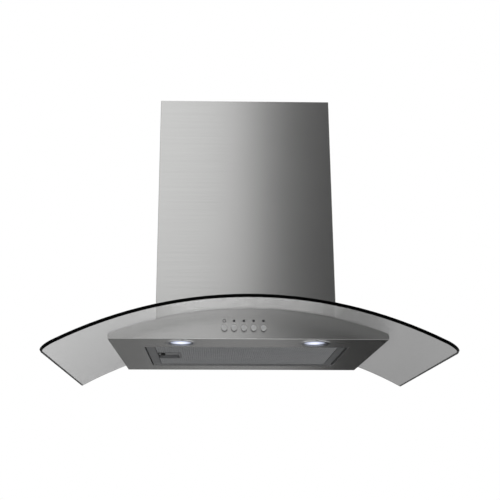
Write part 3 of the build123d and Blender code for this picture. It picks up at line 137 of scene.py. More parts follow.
class HoodStage(PropertyGroup):
    """Camera and studio."""

    lens: FloatProperty(name="Lens", description="Focal length of the camera", default=56.8, unit="CAMERA")
    pitch: angle("Pitch", "How far the camera looks up", 15.42)
    yaw: angle("Yaw", "How far the camera turns to the left", -1.14)
    shift_x: FloatProperty(name="Shift across", description="Sideways shift of the picture", default=0.04)
    shift_y: FloatProperty(name="Shift up", description="Upward shift of the picture", default=0.05)
    camera: FloatVectorProperty(
        name="Camera", description="Place of the camera", subtype="TRANSLATION",
        default=(-0.0643, -1.846, -0.6389),
    )
    key_glow: FloatProperty(
        name="Key brightness", description="Brightness of the large soft light", default=0.66
    )
    floor_drop: length("Floor drop", "Floor below the origin", 2.6)
    floor_reach: length("Floor reach", "Radius of the round floor", 3.6)


def add_node(tree, kind, inputs=(), **settings):
    """Adds a node with its settings. Each input is an output of another node, or a plain value."""
    node = tree.nodes.new(kind)
    for name, value in settings.items():
        setattr(node, name, value)
    for socket, value in dict(inputs).items():
        if isinstance(value, bpy.types.NodeSocket):
            tree.links.new(value, node.inputs[socket])
        else:
            node.inputs[socket].default_value = value
    return node


def number(tree, operation, *terms):
    """Reckons with numbers."""
    return add_node(tree, "ShaderNodeMath", dict(enumerate(terms)), operation=operation).outputs[0]


def vector(tree, operation, *terms):
    """Reckons with vectors. A length or a dot product gives a number."""
    outputs = add_node(tree, "ShaderNodeVectorMath", dict(enumerate(terms)), operation=operation).outputs
    return outputs["Value" if operation in ("LENGTH", "DOT_PRODUCT") else "Vector"]


def split(tree, place):
    """The three parts of a place or heading, by the names of the axes."""
    return add_node(tree, "ShaderNodeSeparateXYZ", {"Vector": place}).outputs


def spread(tree, value, low, high, start=0.0, end=1.0, **settings):
    """Runs from start to end while a value runs from low to high."""
    inputs = {"Value": value, "From Min": low, "From Max": high, "To Min": start, "To Max": end}
    return add_node(tree, "ShaderNodeMapRange", inputs, **settings).outputs["Result"]


def blend(tree, factor, first, second, kind="RGBA"):
    """A colour between two others, or another kind of value."""
    start, end, result = MIX_SOCKETS[kind]
    inputs = {0: factor, start: first, end: second}
    return add_node(tree, "ShaderNodeMix", inputs, data_type=kind).outputs[result]


def ramp(tree, factor, *stops):
    """A colour that follows stops: pairs of a factor and a grey value or colour."""
    node = add_node(tree, "ShaderNodeValToRGB", {"Fac": factor})
    elements = node.color_ramp.elements
    while len(elements) < len(stops):
        elements.new(1.0)
    for element, (place, tone) in zip(elements, stops):
        element.position = place
        element.color = (tone, tone, tone, 1.0) if isinstance(tone, float) else tuple(tone)
    return node.outputs["Color"]


def noise(tree, place, size, detail, **more):
    """A cloudy pattern with lumps of about the given size."""
    inputs = {"Vector": place, "Scale": 1 / size, "Detail": detail, **more}
    return add_node(tree, "ShaderNodeTexNoise", inputs).outputs


def streaky_noise(tree, place, sizes, detail):
    """A cloudy pattern with a size of its lumps for each axis."""
    stretch = [1 / size for size in sizes]
    mapped = add_node(tree, "ShaderNodeMapping", {"Vector": place, "Scale": stretch})
    return noise(tree, mapped.outputs["Vector"], 1.0, detail)


def turned_rings(tree, place, centre, normal, pitch):
    """Fine lathe rings round an axis through centre."""
    inputs = {"Vector": vector(tree, "SUBTRACT", place, centre), "Scale": 1 / (2 * pitch)}
    return add_node(
        tree, "ShaderNodeTexWave", {**inputs, "Distortion": 0.4, "Detail": 2.0},
        wave_type="RINGS", rings_direction=normal,
    ).outputs["Fac"]


def start_material(name, values):
    """Starts a material: returns it with its node tree, its shader and the Object coordinates."""
    material = bpy.data.materials.new(name)
    material.use_nodes = True
    tree = material.node_tree
    tree.nodes.clear()
    shader = add_node(tree, "ShaderNodeBsdfPrincipled", values)
    add_node(tree, "ShaderNodeOutputMaterial", {"Surface": shader.outputs["BSDF"]})
    place = add_node(tree, "ShaderNodeTexCoord").outputs["Object"]
    return material, tree, shader, place


def vary_colour(tree, shader, factor, dark, light):
    """Runs the shader's colour between two tones by a pattern."""
    tree.links.new(blend(tree, factor, dark, light), shader.inputs["Base Color"])


def vary_roughness(tree, shader, factor, low, high):
    """Runs the shader's roughness between two values by a pattern."""
    tree.links.new(spread(tree, factor, 0.0, 1.0, low, high), shader.inputs["Roughness"])


def raise_relief(tree, shader, height, strength, depth):
    """Gives the shader a relief of the given depth in metres."""
    bump = add_node(tree, "ShaderNodeBump", {"Height": height, "Strength": strength, "Distance": depth})
    tree.links.new(bump.outputs["Normal"], shader.inputs["Normal"])


def shade(tone, factor):
    """A colour made darker or lighter by a factor."""
    return (*(min(1.0, channel * factor) for channel in tone[:3]), 1.0)


def brushed_stainless(name, tone, run, turn):
    """Belt-brushed stainless sheet: soft reflections, drawn out across the scratches.

    The scratches lie along the axes named in run, and go round the axis named in turn."""
    material, tree, shader, place = start_material(
        name, {"Metallic": 1.0, "Anisotropic": 0.55, "Anisotropic Rotation": 0.25}
    )
    # The scratches lie about 0.15 mm apart. They are drawn at 2 mm, as fine as the picture can show.
    sizes = [260 * MM if axis in run else 2 * MM for axis in "XYZ"]
    scratches = streaky_noise(tree, place, sizes, 1.0)["Fac"]
    # Broad faint clouds, a hand's width across, as handled sheet has.
    clouds = noise(tree, place, 90 * MM, 2.0)["Fac"]
    vary_colour(tree, shader, scratches, shade(tone, 0.95), shade(tone, 1.04))
    vary_roughness(tree, shader, clouds, 0.235, 0.26)
    tangent = add_node(tree, "ShaderNodeTangent", direction_type="RADIAL", axis=turn)
    tree.links.new(tangent.outputs["Tangent"], shader.inputs["Tangent"])
    return material


def grey_glass(name, tone, edge_shade_tone, axis_height, reach, corner, band):
    """Toughened float glass, lightly tinted grey: clear faces, and pencil-ground edges round them in
    painted shade.

    The sheet is bent round an axis that runs front to back at the given height. It reaches as far to each
    side and to the front as reach says, and a dull band of painted shade runs along those edges, for the
    light that a rounded ground edge bends away."""
    material, tree, shader, place = start_material(name, {"Transmission Weight": 1.0, "IOR": 1.52})
    parts = split(tree, place)
    lifted = number(tree, "SUBTRACT", parts["Z"], axis_height)
    spoke = add_node(tree, "ShaderNodeCombineXYZ", {"X": parts["X"], "Z": lifted}).outputs["Vector"]
    radius = vector(tree, "NORMALIZE", spoke)
    facing = add_node(tree, "ShaderNodeNewGeometry").outputs["Normal"]
    # The cosine of a face's tilt from the bend's radius: near 1 on the faces, 0.7 or less at an edge.
    tilt = number(tree, "ABSOLUTE", vector(tree, "DOT_PRODUCT", radius, facing))
    # Painted shade on the faces of the edges.
    edge = spread(tree, tilt, 0.9, 0.75)
    # How far a point lies past the corners' middles. On the outline that is the corners' radius.
    # The hood is less than 1 m high, so the height drops out.
    inner = (reach[0] - corner, reach[1] - corner, 1.0)
    past = vector(tree, "SUBTRACT", vector(tree, "ABSOLUTE", place), inner)
    run = vector(tree, "LENGTH", vector(tree, "MAXIMUM", past, (0.0, 0.0, 0.0)))
    # Painted shade in a band just inside the outline.
    ground = spread(tree, run, corner - band, corner - band * 0.8)
    # The edge at the wall is left clear, as it lies out of sight.
    ahead = spread(tree, parts["Y"], -1 * MM, -2 * MM)
    dark = number(tree, "MULTIPLY", number(tree, "MAXIMUM", edge, ground), ahead)
    # Painted shade: the edge faces and the band along them take a dark metal colour, for the light that
    # enters an edge and is lost in the length of the sheet.
    vary_colour(tree, shader, dark, WHITE, edge_shade_tone)
    vary_roughness(tree, shader, dark, 0.0, 0.35)
    tree.links.new(dark, shader.inputs["Metallic"])
    # The tempering rollers leave waves about 60 mm long and a few thousandths of a millimetre high.
    waves = noise(tree, place, 60 * MM, 1.0)["Fac"]
    raise_relief(tree, shader, waves, 0.05, 0.10 * MM)
    absorb = add_node(tree, "ShaderNodeVolumeAbsorption", {"Color": tone, "Density": 10.0})
    output = next(node for node in tree.nodes if node.type == "OUTPUT_MATERIAL")
    tree.links.new(absorb.outputs["Volume"], output.inputs["Volume"])
    return material


def galvanised_sheet(name, tone):
    """Hot-dip galvanised sheet: flat crystals of zinc, about 9 mm across, some lighter and some darker."""
    material, tree, shader, place = start_material(name, {"Metallic": 1.0})
    warp = noise(tree, place, 14 * MM, 2.0)
    # A small share of the clouds bends the borders of the crystals.
    bent = blend(tree, 0.006, place, warp["Color"], kind="VECTOR")
    spangle = add_node(
        tree, "ShaderNodeTexVoronoi", {"Vector": bent, "Scale": 1 / (9 * MM), "Randomness": 1.0}
    )
    grey = add_node(tree, "ShaderNodeSeparateColor", {"Color": spangle.outputs["Color"]}).outputs
    vary_colour(tree, shader, grey["Red"], shade(tone, 0.78), shade(tone, 1.08))
    vary_roughness(tree, shader, grey["Green"], 0.34, 0.52)
    raise_relief(tree, shader, warp["Fac"], 0.08, 0.1 * MM)
    return material


def plated_steel(name, tone, roughness, smudge):
    """Plated metal: a thin even layer, with faint wiping marks of the size of smudge in its gloss."""
    material, tree, shader, place = start_material(name, {"Metallic": 1.0})
    wiped = noise(tree, place, smudge, 5.0, Roughness=0.65)["Fac"]
    vary_colour(tree, shader, wiped, shade(tone, 0.9), shade(tone, 1.05))
    vary_roughness(tree, shader, wiped, roughness * 0.75, roughness * 1.3)
    return material


def turned_metal(name, tone, roughness, centre, normal, pitch):
    """Metal faced on a lathe: fine rings round its own axis."""
    material, tree, shader, place = start_material(name, {"Metallic": 1.0})
    rings = turned_rings(tree, place, centre, normal, pitch)
    vary_colour(tree, shader, rings, shade(tone, 0.88), shade(tone, 1.04))
    vary_roughness(tree, shader, rings, roughness * 0.8, roughness * 1.25)
    raise_relief(tree, shader, rings, 0.05, 0.02 * MM)
    return material


def button_with_shade_collar(name, tone, collar, centre, seam):
    """Satin chrome cap with turned rings, over a black collar of painted shade that starts at the depth of
    seam.
    """
    material, tree, shader, place = start_material(name, {})
    # The rings lie about 0.1 mm apart. They are drawn at 0.5 mm, so that they show.
    rings = turned_rings(tree, place, centre, "Y", 0.5 * MM)
    satin = blend(tree, rings, shade(tone, 0.9), shade(tone, 1.04))
    # Painted shade: behind the seam the button is coloured black, for the dark side and shadow of the proud
    # cap.
    behind = spread(tree, split(tree, place)["Y"], seam, seam + 0.2 * MM)
    vary_colour(tree, shader, behind, satin, collar)
    tree.links.new(spread(tree, behind, 0.0, 1.0, 0.45, 0.0), shader.inputs["Metallic"])
    vary_roughness(tree, shader, behind, 0.28, 0.5)
    raise_relief(tree, shader, rings, 0.05, 0.02 * MM)
    return material


def mill_aluminium(name, tone):
    """Rolled aluminium as it comes from the mill: soft grey, with lengthwise streaks and dull patches."""
    material, tree, shader, place = start_material(name, {"Metallic": 1.0})
    streaks = streaky_noise(tree, place, (40 * MM, 2.2 * MM, 2.2 * MM), 3.0)["Fac"]
    dull = noise(tree, place, 35 * MM, 3.0)["Fac"]
    vary_colour(tree, shader, streaks, shade(tone, 0.75), shade(tone, 1.1))
    vary_roughness(tree, shader, dull, 0.36, 0.55)
    raise_relief(tree, shader, streaks, 0.08, 0.05 * MM)
    return material


def moulded_plastic(name, tone, roughness, grain):
    """Injection-moulded plastic with a spark-eroded grain and faint flow marks."""
    material, tree, shader, place = start_material(name, {"IOR": 1.53})
    spark = noise(tree, place, grain, 2.0, Roughness=0.6)["Fac"]
    flow = noise(tree, place, 30 * MM, 1.0)["Fac"]
    vary_colour(tree, shader, flow, shade(tone, 0.85), shade(tone, 1.2))
    vary_roughness(tree, shader, spark, roughness * 0.85, roughness * 1.15)
    raise_relief(tree, shader, spark, 0.25, 0.06 * MM)
    return material


def sealing_rubber(name, tone):
    """Extruded rubber: nearly black, dull, with a bloom of fine dust."""
    material, tree, shader, place = start_material(name, {"IOR": 1.5})
    bloom = noise(tree, place, 6 * MM, 6.0)["Fac"]
    vary_colour(tree, shader, bloom, shade(tone, 0.7), shade(tone, 2.2))
    vary_roughness(tree, shader, bloom, 0.7, 0.9)
    raise_relief(tree, shader, bloom, 0.15, 0.1 * MM)
    return material


def enamelled_iron(name, tone):
    """Sprayed enamel over a pressed motor casing: glossy, with the slight orange peel of spray."""
    material, tree, shader, place = start_material(
        name, {"IOR": 1.5, "Coat Weight": 0.3, "Coat Roughness": 0.2}
    )
    peel = noise(tree, place, 2.5 * MM, 2.0)["Fac"]
    worn = noise(tree, place, 25 * MM, 4.0)["Fac"]
    vary_colour(tree, shader, worn, shade(tone, 0.8), shade(tone, 1.5))
    vary_roughness(tree, shader, worn, 0.32, 0.5)
    raise_relief(tree, shader, peel, 0.2, 0.1 * MM)
    return material


def lit_lens(name, tone, centre, reach):
    """Frosted glass over a lit board: brightest in its middle, bluer outwards, with painted shade darkening
    its clear rim by the bezel.
    """
    material, tree, shader, place = start_material(name, {"IOR": 1.5, "Emission Strength": 1.1})
    away = vector(tree, "LENGTH", vector(tree, "SUBTRACT", place, centre))
    share = spread(tree, away, 0.0, reach)
    glow = ramp(
        tree, share, (0.0, shade(tone, 1.0)), (0.3, shade(tone, 0.75)), (0.6, shade(tone, 0.35)),
        (0.74, shade(tone, 0.14)), (0.82, shade(tone, 0.02)),
    )
    tree.links.new(glow, shader.inputs["Emission Color"])
    # The dark last stop of the lens colour is painted shade, for the gap between lens and bezel.
    lens_tint_and_rim_shade = ramp(
        tree, share, (0.0, linear("#eef3ff")), (0.74, linear("#b9c3d6")), (0.82, linear("#4a4d54"))
    )
    tree.links.new(lens_tint_and_rim_shade, shader.inputs["Base Color"])
    frost = noise(tree, place, 0.9 * MM, 2.0)["Fac"]
    vary_roughness(tree, shader, frost, 0.3, 0.42)
    raise_relief(tree, shader, frost, 0.2, 0.05 * MM)
    return material


def light_board(name, centre, chip):
    """White solder lacquer on an aluminium board, with the yellow phosphor of the chip in its middle."""
    material, tree, shader, place = start_material(name, {"IOR": 1.5})
    flat = vector(tree, "MULTIPLY", vector(tree, "SUBTRACT", place, centre), PLAN)
    bare = spread(tree, vector(tree, "LENGTH", flat), chip * 0.9, chip)
    speck = noise(tree, place, 1.5 * MM, 3.0)["Fac"]
    vary_colour(tree, shader, bare, linear("#e5c64a"), linear("#efefe9"))
    vary_roughness(tree, shader, speck, 0.3, 0.5)
    return material


def dress(material, *names):
    """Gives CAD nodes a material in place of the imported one."""
    for name in names:
        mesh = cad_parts[name].data
        mesh.materials.clear()
        mesh.materials.append(material)


def clear_selection():
    """Leaves nothing selected and no object in edit mode."""
    if bpy.context.object and bpy.context.object.mode != "OBJECT":
        bpy.ops.object.mode_set(mode="OBJECT")
    bpy.ops.object.select_all(action="DESELECT")


def select_only(piece):
    """Makes one object the selected and active one."""
    clear_selection()
    piece.select_set(True)
    bpy.context.view_layer.objects.active = piece


def settle(piece_name, body, material):
    """Finishes the active object: applies its place, names it, sets its finish and hangs it on a body."""
    bpy.ops.object.transform_apply(location=True, rotation=True, scale=True)
    piece = bpy.context.object
    piece.name = piece_name
    piece.data.name = piece_name
    piece.data.materials.clear()
    piece.data.materials.append(material)
    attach(piece, body)
    return piece


class HOOD_OT_steelwork(Operator):
    """Brushed stainless on the chimney and on the body under the glass"""

    bl_idname = "hood.steelwork"
    bl_label = "Steelwork"

    def execute(self, context):
        tone = context.scene.hood_finishes.steel
        upright = brushed_stainless("stainless_upright", tone, run="XY", turn="Z")
        underside = brushed_stainless("stainless_underside", tone, run="X", turn="Y")
        dress(upright, "chimney_cover", "upper_chimney", "canopy_front", "canopy_back")
        dress(upright, "canopy_end_left", "canopy_end_right")
        dress(underside, "bottom_plate")
        return {"FINISHED"}


class HOOD_OT_glasswork(Operator):
    """Grey glass canopy and the rubber that it lies on"""

    bl_idname = "hood.glasswork"
    bl_label = "Glass canopy"

    def execute(self, context):
        finishes = context.scene.hood_finishes
        sizes = context.scene.hood_sizes
        low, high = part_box("glass_canopy")
        # The bend's axis follows from the sheet's half width and rise.
        half, rise = (high.x - low.x) / 2, high.z - low.z
        axis_height = high.z - (half ** 2 + rise ** 2) / (2 * rise)
        glass = grey_glass(
            "grey_glass", finishes.glass, finishes.glass_edge_shade, axis_height, (high.x, -low.y),
            sizes.edge_corner, sizes.edge_shade_band,
        )
        dress(glass, "glass_canopy")
        rubber = sealing_rubber("seal_rubber", linear("#1a1a1a"))
        dress(rubber, "glass_seal", "saddle_seal", "glass_bushes")
        return {"FINISHED"}


class HOOD_OT_buttons(Operator):
    """Satin push buttons, each with its own turned face, and the printed marks over them"""

    bl_idname = "hood.buttons"
    bl_label = "Buttons and marks"

    def execute(self, context):
        sizes = context.scene.hood_sizes
        finishes = context.scene.hood_finishes
        ink = moulded_plastic("panel_ink", linear("#464749"), roughness=0.55, grain=0.5 * MM)
        panel_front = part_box("canopy_front")[0].y
        for name in BUTTONS:
            low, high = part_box(name)
            middle = (low + high) / 2
            seam = low.y + sizes.cap_depth
            # Each button's black collar is painted shade for the dark underside of its cap.
            dress(button_with_shade_collar(f"{name}_satin", finishes.button, finishes.black, middle, seam), name)
            spot = (middle.x, panel_front - sizes.mark_thick / 2, middle.z + sizes.mark_rise)
            clear_selection()
            if name == BUTTONS[0]:
                self.print_ring(sizes, spot)
            else:
                self.print_square(sizes, spot)
            settle(f"mark_{name}", "hood", ink)
        return {"FINISHED"}

    def print_ring(self, sizes, spot):
        """A flat ring of ink, half as wide again as the squares."""
        bpy.ops.mesh.primitive_circle_add(
            vertices=ROUND_SIDES, radius=sizes.mark_size * 1.5 / 2, fill_type="NGON", location=spot,
            rotation=(math.pi / 2, 0, 0),
        )
        bpy.ops.object.mode_set(mode="EDIT")
        bpy.ops.mesh.select_all(action="SELECT")
        bpy.ops.mesh.inset(thickness=sizes.mark_line)
        bpy.ops.mesh.delete(type="FACE")
        bpy.ops.mesh.select_all(action="SELECT")
        self.thicken(sizes)

    def print_square(self, sizes, spot):
        """A flat square of ink with eased corners."""
        ease = sizes.mark_size / 7
        bpy.ops.mesh.primitive_plane_add(size=sizes.mark_size, location=spot, rotation=(math.pi / 2, 0, 0))
        bpy.ops.object.mode_set(mode="EDIT")
        bpy.ops.mesh.select_all(action="SELECT")
        bpy.ops.mesh.bevel(offset=ease, segments=3, affect="VERTICES")
        self.thicken(sizes)

    def thicken(self, sizes):
        """Gives the ink its thickness."""
        bpy.ops.mesh.solidify(thickness=sizes.mark_thick)
        bpy.ops.mesh.normals_make_consistent(inside=False)
        bpy.ops.object.mode_set(mode="OBJECT")


class HOOD_OT_lamps(Operator):
    """Chrome bezels, lit lenses, spun cups and light boards"""

    bl_idname = "hood.lamps"
    bl_label = "Lamps"

    def execute(self, context):
        finishes = context.scene.hood_finishes
        chip = context.scene.hood_sizes.chip
        chrome = plated_steel("chrome_plate", finishes.chrome, roughness=0.09, smudge=12 * MM)
        for side in ("left", "right"):
            low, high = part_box(f"lamp_lens_{side}")
            middle = (low + high) / 2
            reach = (high.x - low.x) / 2
            board_low, board_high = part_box(f"lamp_board_{side}")
            board_middle = (board_low + board_high) / 2
            spun = turned_metal(
                f"spun_cup_{side}", linear("#c9cacb"), roughness=0.3, centre=middle, normal="Z",
                pitch=0.8 * MM,
            )
            dress(chrome, f"lamp_bezel_{side}")
            dress(lit_lens(f"lit_lens_{side}", finishes.lamp, middle, reach), f"lamp_lens_{side}")
            dress(light_board(f"light_board_{side}", board_middle, chip), f"lamp_board_{side}")
            dress(spun, f"lamp_cup_{side}")
        return {"FINISHED"}


class HOOD_OT_filter(Operator):
    """Grease filter: mill aluminium frame, fine expanded mesh, and the black latch in its pocket"""

    bl_idname = "hood.filter"
    bl_label = "Grease filter"

    def execute(self, context):
        finishes = context.scene.hood_finishes
        sizes = context.scene.hood_sizes
        aluminium = mill_aluminium("mill_aluminium", finishes.aluminium)
        dull = mill_aluminium("filter_core_aluminium", linear("#65676a"))
        dress(aluminium, "filter_frame", "filter_mesh")
        dress(dull, "filter_core")
        self.expand_mesh(sizes, *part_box("filter_mesh"))
        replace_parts(settle("filter_face_mesh", "filter", aluminium), "filter_mesh")
        low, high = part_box("filter_core")
        floor = high.z - sizes.strand
        self.expand_mesh(sizes, Vector((low.x, low.y, floor)), high)
        settle("filter_back_mesh", "filter", aluminium)
        # The layers leave a tenth of a strand free under the back mesh.
        room = sizes.strand * 1.1
        self.press_core((low.z + high.z) / 2, room)
        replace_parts(settle("filter_pressed_core", "filter", dull), "filter_core")
        pocket_grey = moulded_plastic("pocket_grey", linear("#7f8082"), roughness=0.45, grain=0.7 * MM)
        latch_black = moulded_plastic("latch_black", finishes.black, roughness=0.5, grain=0.7 * MM)
        dress(pocket_grey, "latch_pocket")
        dress(latch_black, "filter_latch")
        return {"FINISHED"}

    def press_core(self, middle, drop):
        """A copy of the layers in the frame, with its top pressed down to make room for the back mesh."""
        core = bpy.data.objects.new("filter_pressed_core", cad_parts["filter_core"].data.copy())
        bpy.context.collection.objects.link(core)
        select_only(core)
        bpy.ops.object.mode_set(mode="EDIT")
        bpy.ops.mesh.select_mode(type="VERT")
        bpy.ops.mesh.select_all(action="SELECT")
        bpy.ops.mesh.remove_doubles(threshold=0.01 * MM)
        bpy.ops.mesh.select_all(action="DESELECT")
        pad = bmesh.from_edit_mesh(core.data)
        for vert in pad.verts:
            vert.select_set(vert.co.z > middle)
        bmesh.update_edit_mesh(core.data)
        bpy.ops.transform.translate(value=(0, 0, -drop))
        bpy.ops.object.mode_set(mode="OBJECT")
        bpy.ops.object.shade_flat()

    def expand_mesh(self, sizes, low, high):
        """A fine sheet of expanded metal in the given box, with a rim round the finger pocket."""
        pocket_low, pocket_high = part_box("latch_pocket")
        sheet = self.lay_diamonds(sizes, low, high)
        self.clear_pocket(sizes, sheet, pocket_low, pocket_high)
        bpy.ops.object.modifier_add(type="WIREFRAME")
        sheet.modifiers["Wireframe"].thickness = sizes.strand
        bpy.ops.object.modifier_apply(modifier="Wireframe")
        self.fold_rim(sizes, pocket_low, pocket_high, low.z, high.z - low.z)
        sheet.select_set(True)
        bpy.context.view_layer.objects.active = sheet
        bpy.ops.object.join()

    def lay_diamonds(self, sizes, low, high):
        """A flat sheet of diamonds in the middle of the given box. It is left in edit mode."""
        span = high - low
        clear_selection()
        bpy.ops.mesh.primitive_grid_add(
            x_subdivisions=round(span.x / sizes.cell_long), y_subdivisions=round(span.y / sizes.cell_short),
            size=1, location=(low + high) / 2,
        )
        sheet = bpy.context.object
        sheet.scale = (span.x - sizes.strand, span.y - sizes.strand, 1)
        bpy.ops.object.transform_apply(location=True, rotation=True, scale=True)
        bpy.ops.object.mode_set(mode="EDIT")
        bpy.ops.mesh.select_mode(type="FACE")
        bpy.ops.mesh.select_all(action="SELECT")
        bpy.ops.mesh.poke()
        # The grid's own edges lie along X or Y. Without them the poked triangles join up as diamonds.
        bpy.ops.mesh.select_mode(type="EDGE")
        bpy.ops.mesh.select_all(action="DESELECT")
        slack = sizes.strand / 10
        web = bmesh.from_edit_mesh(sheet.data)
        for edge in web.edges:
            run = edge.verts[1].co - edge.verts[0].co
            edge.select_set(min(abs(run.x), abs(run.y)) < slack and not edge.is_boundary)
        bmesh.update_edit_mesh(sheet.data)
        bpy.ops.mesh.dissolve_edges(use_verts=False)
        return sheet

    def clear_pocket(self, sizes, sheet, low, high):
        """Takes the diamonds away at the finger pocket, and leaves edit mode."""
        rim = sizes.pocket_rim
        bpy.ops.mesh.select_mode(type="FACE")
        bpy.ops.mesh.select_all(action="DESELECT")
        web = bmesh.from_edit_mesh(sheet.data)
        for face in web.faces:
            spot = face.calc_center_median()
            inside_x = low.x - rim < spot.x < high.x + rim / 2
            inside_y = low.y - rim / 2 < spot.y < high.y + rim / 2
            face.select_set(inside_x and inside_y)
        bmesh.update_edit_mesh(sheet.data)
        bpy.ops.mesh.delete(type="FACE")
        bpy.ops.object.mode_set(mode="OBJECT")

    def fold_rim(self, sizes, low, high, floor, depth):
        """A flat rim round the finger pocket, as deep as the mesh."""
        clear_selection()
        bpy.ops.mesh.primitive_plane_add(size=1, location=(*((low + high) / 2).xy, floor))
        rim = bpy.context.object
        rim.scale = (high.x - low.x + 2 * sizes.pocket_rim, high.y - low.y + 2 * sizes.pocket_rim, 1)
        bpy.ops.object.transform_apply(location=True, rotation=True, scale=True)
        bpy.ops.object.mode_set(mode="EDIT")
        bpy.ops.mesh.select_all(action="SELECT")
        bpy.ops.mesh.inset(thickness=sizes.pocket_rim)
        bpy.ops.mesh.delete(type="FACE")
        bpy.ops.mesh.select_all(action="SELECT")
        bpy.ops.mesh.extrude_region_move(TRANSFORM_OT_translate={"value": (0, 0, depth)})
        bpy.ops.mesh.select_all(action="SELECT")
        bpy.ops.mesh.normals_make_consistent(inside=False)
        bpy.ops.object.mode_set(mode="OBJECT")


class HOOD_OT_fan(Operator):
    """Fan box, saddle, carrier, scroll, motor and wheel"""

    bl_idname = "hood.fan"
    bl_label = "Fan"

    def execute(self, context):
        finishes = context.scene.hood_finishes
        dress(
            galvanised_sheet("galvanised_sheet", finishes.zinc),
            "glass_carrier", "fan_saddle", "back_plate", "fan_box_wrap", "fan_box_top", "scroll_wrapper",
            "scroll_side_left", "scroll_side_right", "motor_bracket", "cover_brackets",
        )
        wheel = moulded_plastic("wheel_plastic", linear("#4a4b4d"), roughness=0.45, grain=0.9 * MM)
        dress(wheel, "impeller")
        dress(enamelled_iron("motor_enamel", linear("#2b2c2f")), "motor")
        shaft = plated_steel("bright_shaft", linear("#cfd0d2"), roughness=0.2, smudge=8 * MM)
        dress(shaft, "motor_shaft")
        return {"FINISHED"}


class HOOD_OT_outlet(Operator):
    """Outlet adapter, duct collar and the two non-return flaps"""

    bl_idname = "hood.outlet"
    bl_label = "Outlet"

    def execute(self, context):
        black = context.scene.hood_finishes.black
        dress(
            moulded_plastic("outlet_black", black, roughness=0.5, grain=1.1 * MM),
            "outlet_adapter", "duct_collar", "damper_flap_front", "damper_flap_rear",
        )
        return {"FINISHED"}


class HOOD_OT_electrics(Operator):
    """Junction box, gland, capacitor and switch block"""

    bl_idname = "hood.electrics"
    bl_label = "Electrics"

    def execute(self, context):
        black = context.scene.hood_finishes.black
        switch = moulded_plastic("switch_black", black, roughness=0.5, grain=0.8 * MM)
        box = moulded_plastic("box_grey", linear("#c4c5c2"), roughness=0.45, grain=1.0 * MM)
        can = moulded_plastic("capacitor_white", linear("#dedfda"), roughness=0.25, grain=2.0 * MM)
        clip = plated_steel("clip_zinc", linear("#c2c5c7"), roughness=0.3, smudge=10 * MM)
        dress(switch, "switch_block", "cable_gland")
        dress(box, "junction_box", "junction_lid")
        dress(can, "capacitor")
        dress(clip, "capacitor_clip")
        return {"FINISHED"}


class HOOD_OT_fasteners(Operator):
    """Zinc-plated bolts, nuts and screws, and the small screws of the outlet flange and junction lid"""

    bl_idname = "hood.fasteners"
    bl_label = "Fasteners"

    def execute(self, context):
        sizes = context.scene.hood_sizes
        zinc = plated_steel("zinc_plate", linear("#c7c9c6"), roughness=0.28, smudge=4 * MM)
        dress(zinc, "glass_bolts", "glass_nuts", "motor_screws", "cover_screws")
        low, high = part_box("outlet_adapter")
        middle = (low.x + high.x) / 2
        front, deck = low.y + sizes.flange_inset, low.z + sizes.flange_thick
        spots = [
            (middle + side * sizes.flange_row / 2, front + back, deck)
            for side in (-1, 1) for back in (0, sizes.flange_reach)
        ]
        self.drive_screws("flange_screw", sizes.flange_head, sizes.head_tall, spots, zinc)
        low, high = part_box("junction_lid")
        inset, seat = sizes.lid_inset, high.z - sizes.head_tall
        spots = [(low.x + inset, low.y + inset, seat), (high.x - inset, high.y - inset, seat)]
        self.drive_screws("lid_screw", sizes.lid_head, sizes.head_tall, spots, zinc)
        return {"FINISHED"}

    def drive_screws(self, name, head, tall, spots, zinc):
        """Models one pan head and puts a copy of it at each spot."""
        screw = self.turn_head(head, tall)
        for count, spot in enumerate(spots, 1):
            select_only(screw)
            bpy.ops.object.duplicate()
            bpy.context.object.location = spot
            settle(f"{name}_{count}", "hood", zinc)
        bpy.data.objects.remove(screw)

    def turn_head(self, head, tall):
        """A pan head that stands on the origin, with a cross recess in its rounded top."""
        dome = tall * 0.6
        arm_long, arm_wide = head * 1.1, head * 0.26
        clear_selection()
        bpy.ops.mesh.primitive_cylinder_add(
            vertices=ROUND_SIDES, radius=head, depth=tall, location=(0, 0, tall / 2)
        )
        screw = bpy.context.object
        bpy.ops.object.transform_apply(location=True, rotation=False, scale=False)
        bpy.ops.object.mode_set(mode="EDIT")
        bpy.ops.mesh.select_mode(type="EDGE")
        bpy.ops.mesh.select_all(action="DESELECT")
        blank = bmesh.from_edit_mesh(screw.data)
        for edge in blank.edges:
            edge.select_set(all(vert.co.z > tall / 2 for vert in edge.verts))
        bmesh.update_edit_mesh(screw.data)
        bpy.ops.mesh.bevel(offset=dome, segments=4)
        bpy.ops.object.mode_set(mode="OBJECT")
        clear_selection()
        bpy.ops.mesh.primitive_cube_add(size=1, location=(0, 0, tall), scale=(arm_long, arm_wide, tall))
        bpy.ops.object.transform_apply(location=True, rotation=False, scale=True)
        cross = bpy.context.object
        bpy.ops.object.mode_set(mode="EDIT")
        bpy.ops.mesh.primitive_cube_add(size=1, location=(0, 0, tall), scale=(arm_wide, arm_long, tall))
        bpy.ops.object.mode_set(mode="OBJECT")
        select_only(screw)
        bpy.ops.object.modifier_add(type="BOOLEAN")
        screw.modifiers["Boolean"].object = cross
        screw.modifiers["Boolean"].use_self = True
        bpy.ops.object.modifier_apply(modifier="Boolean")
        bpy.data.objects.remove(cross)
        bpy.ops.object.shade_smooth_by_angle(angle=math.radians(40))
        return screw


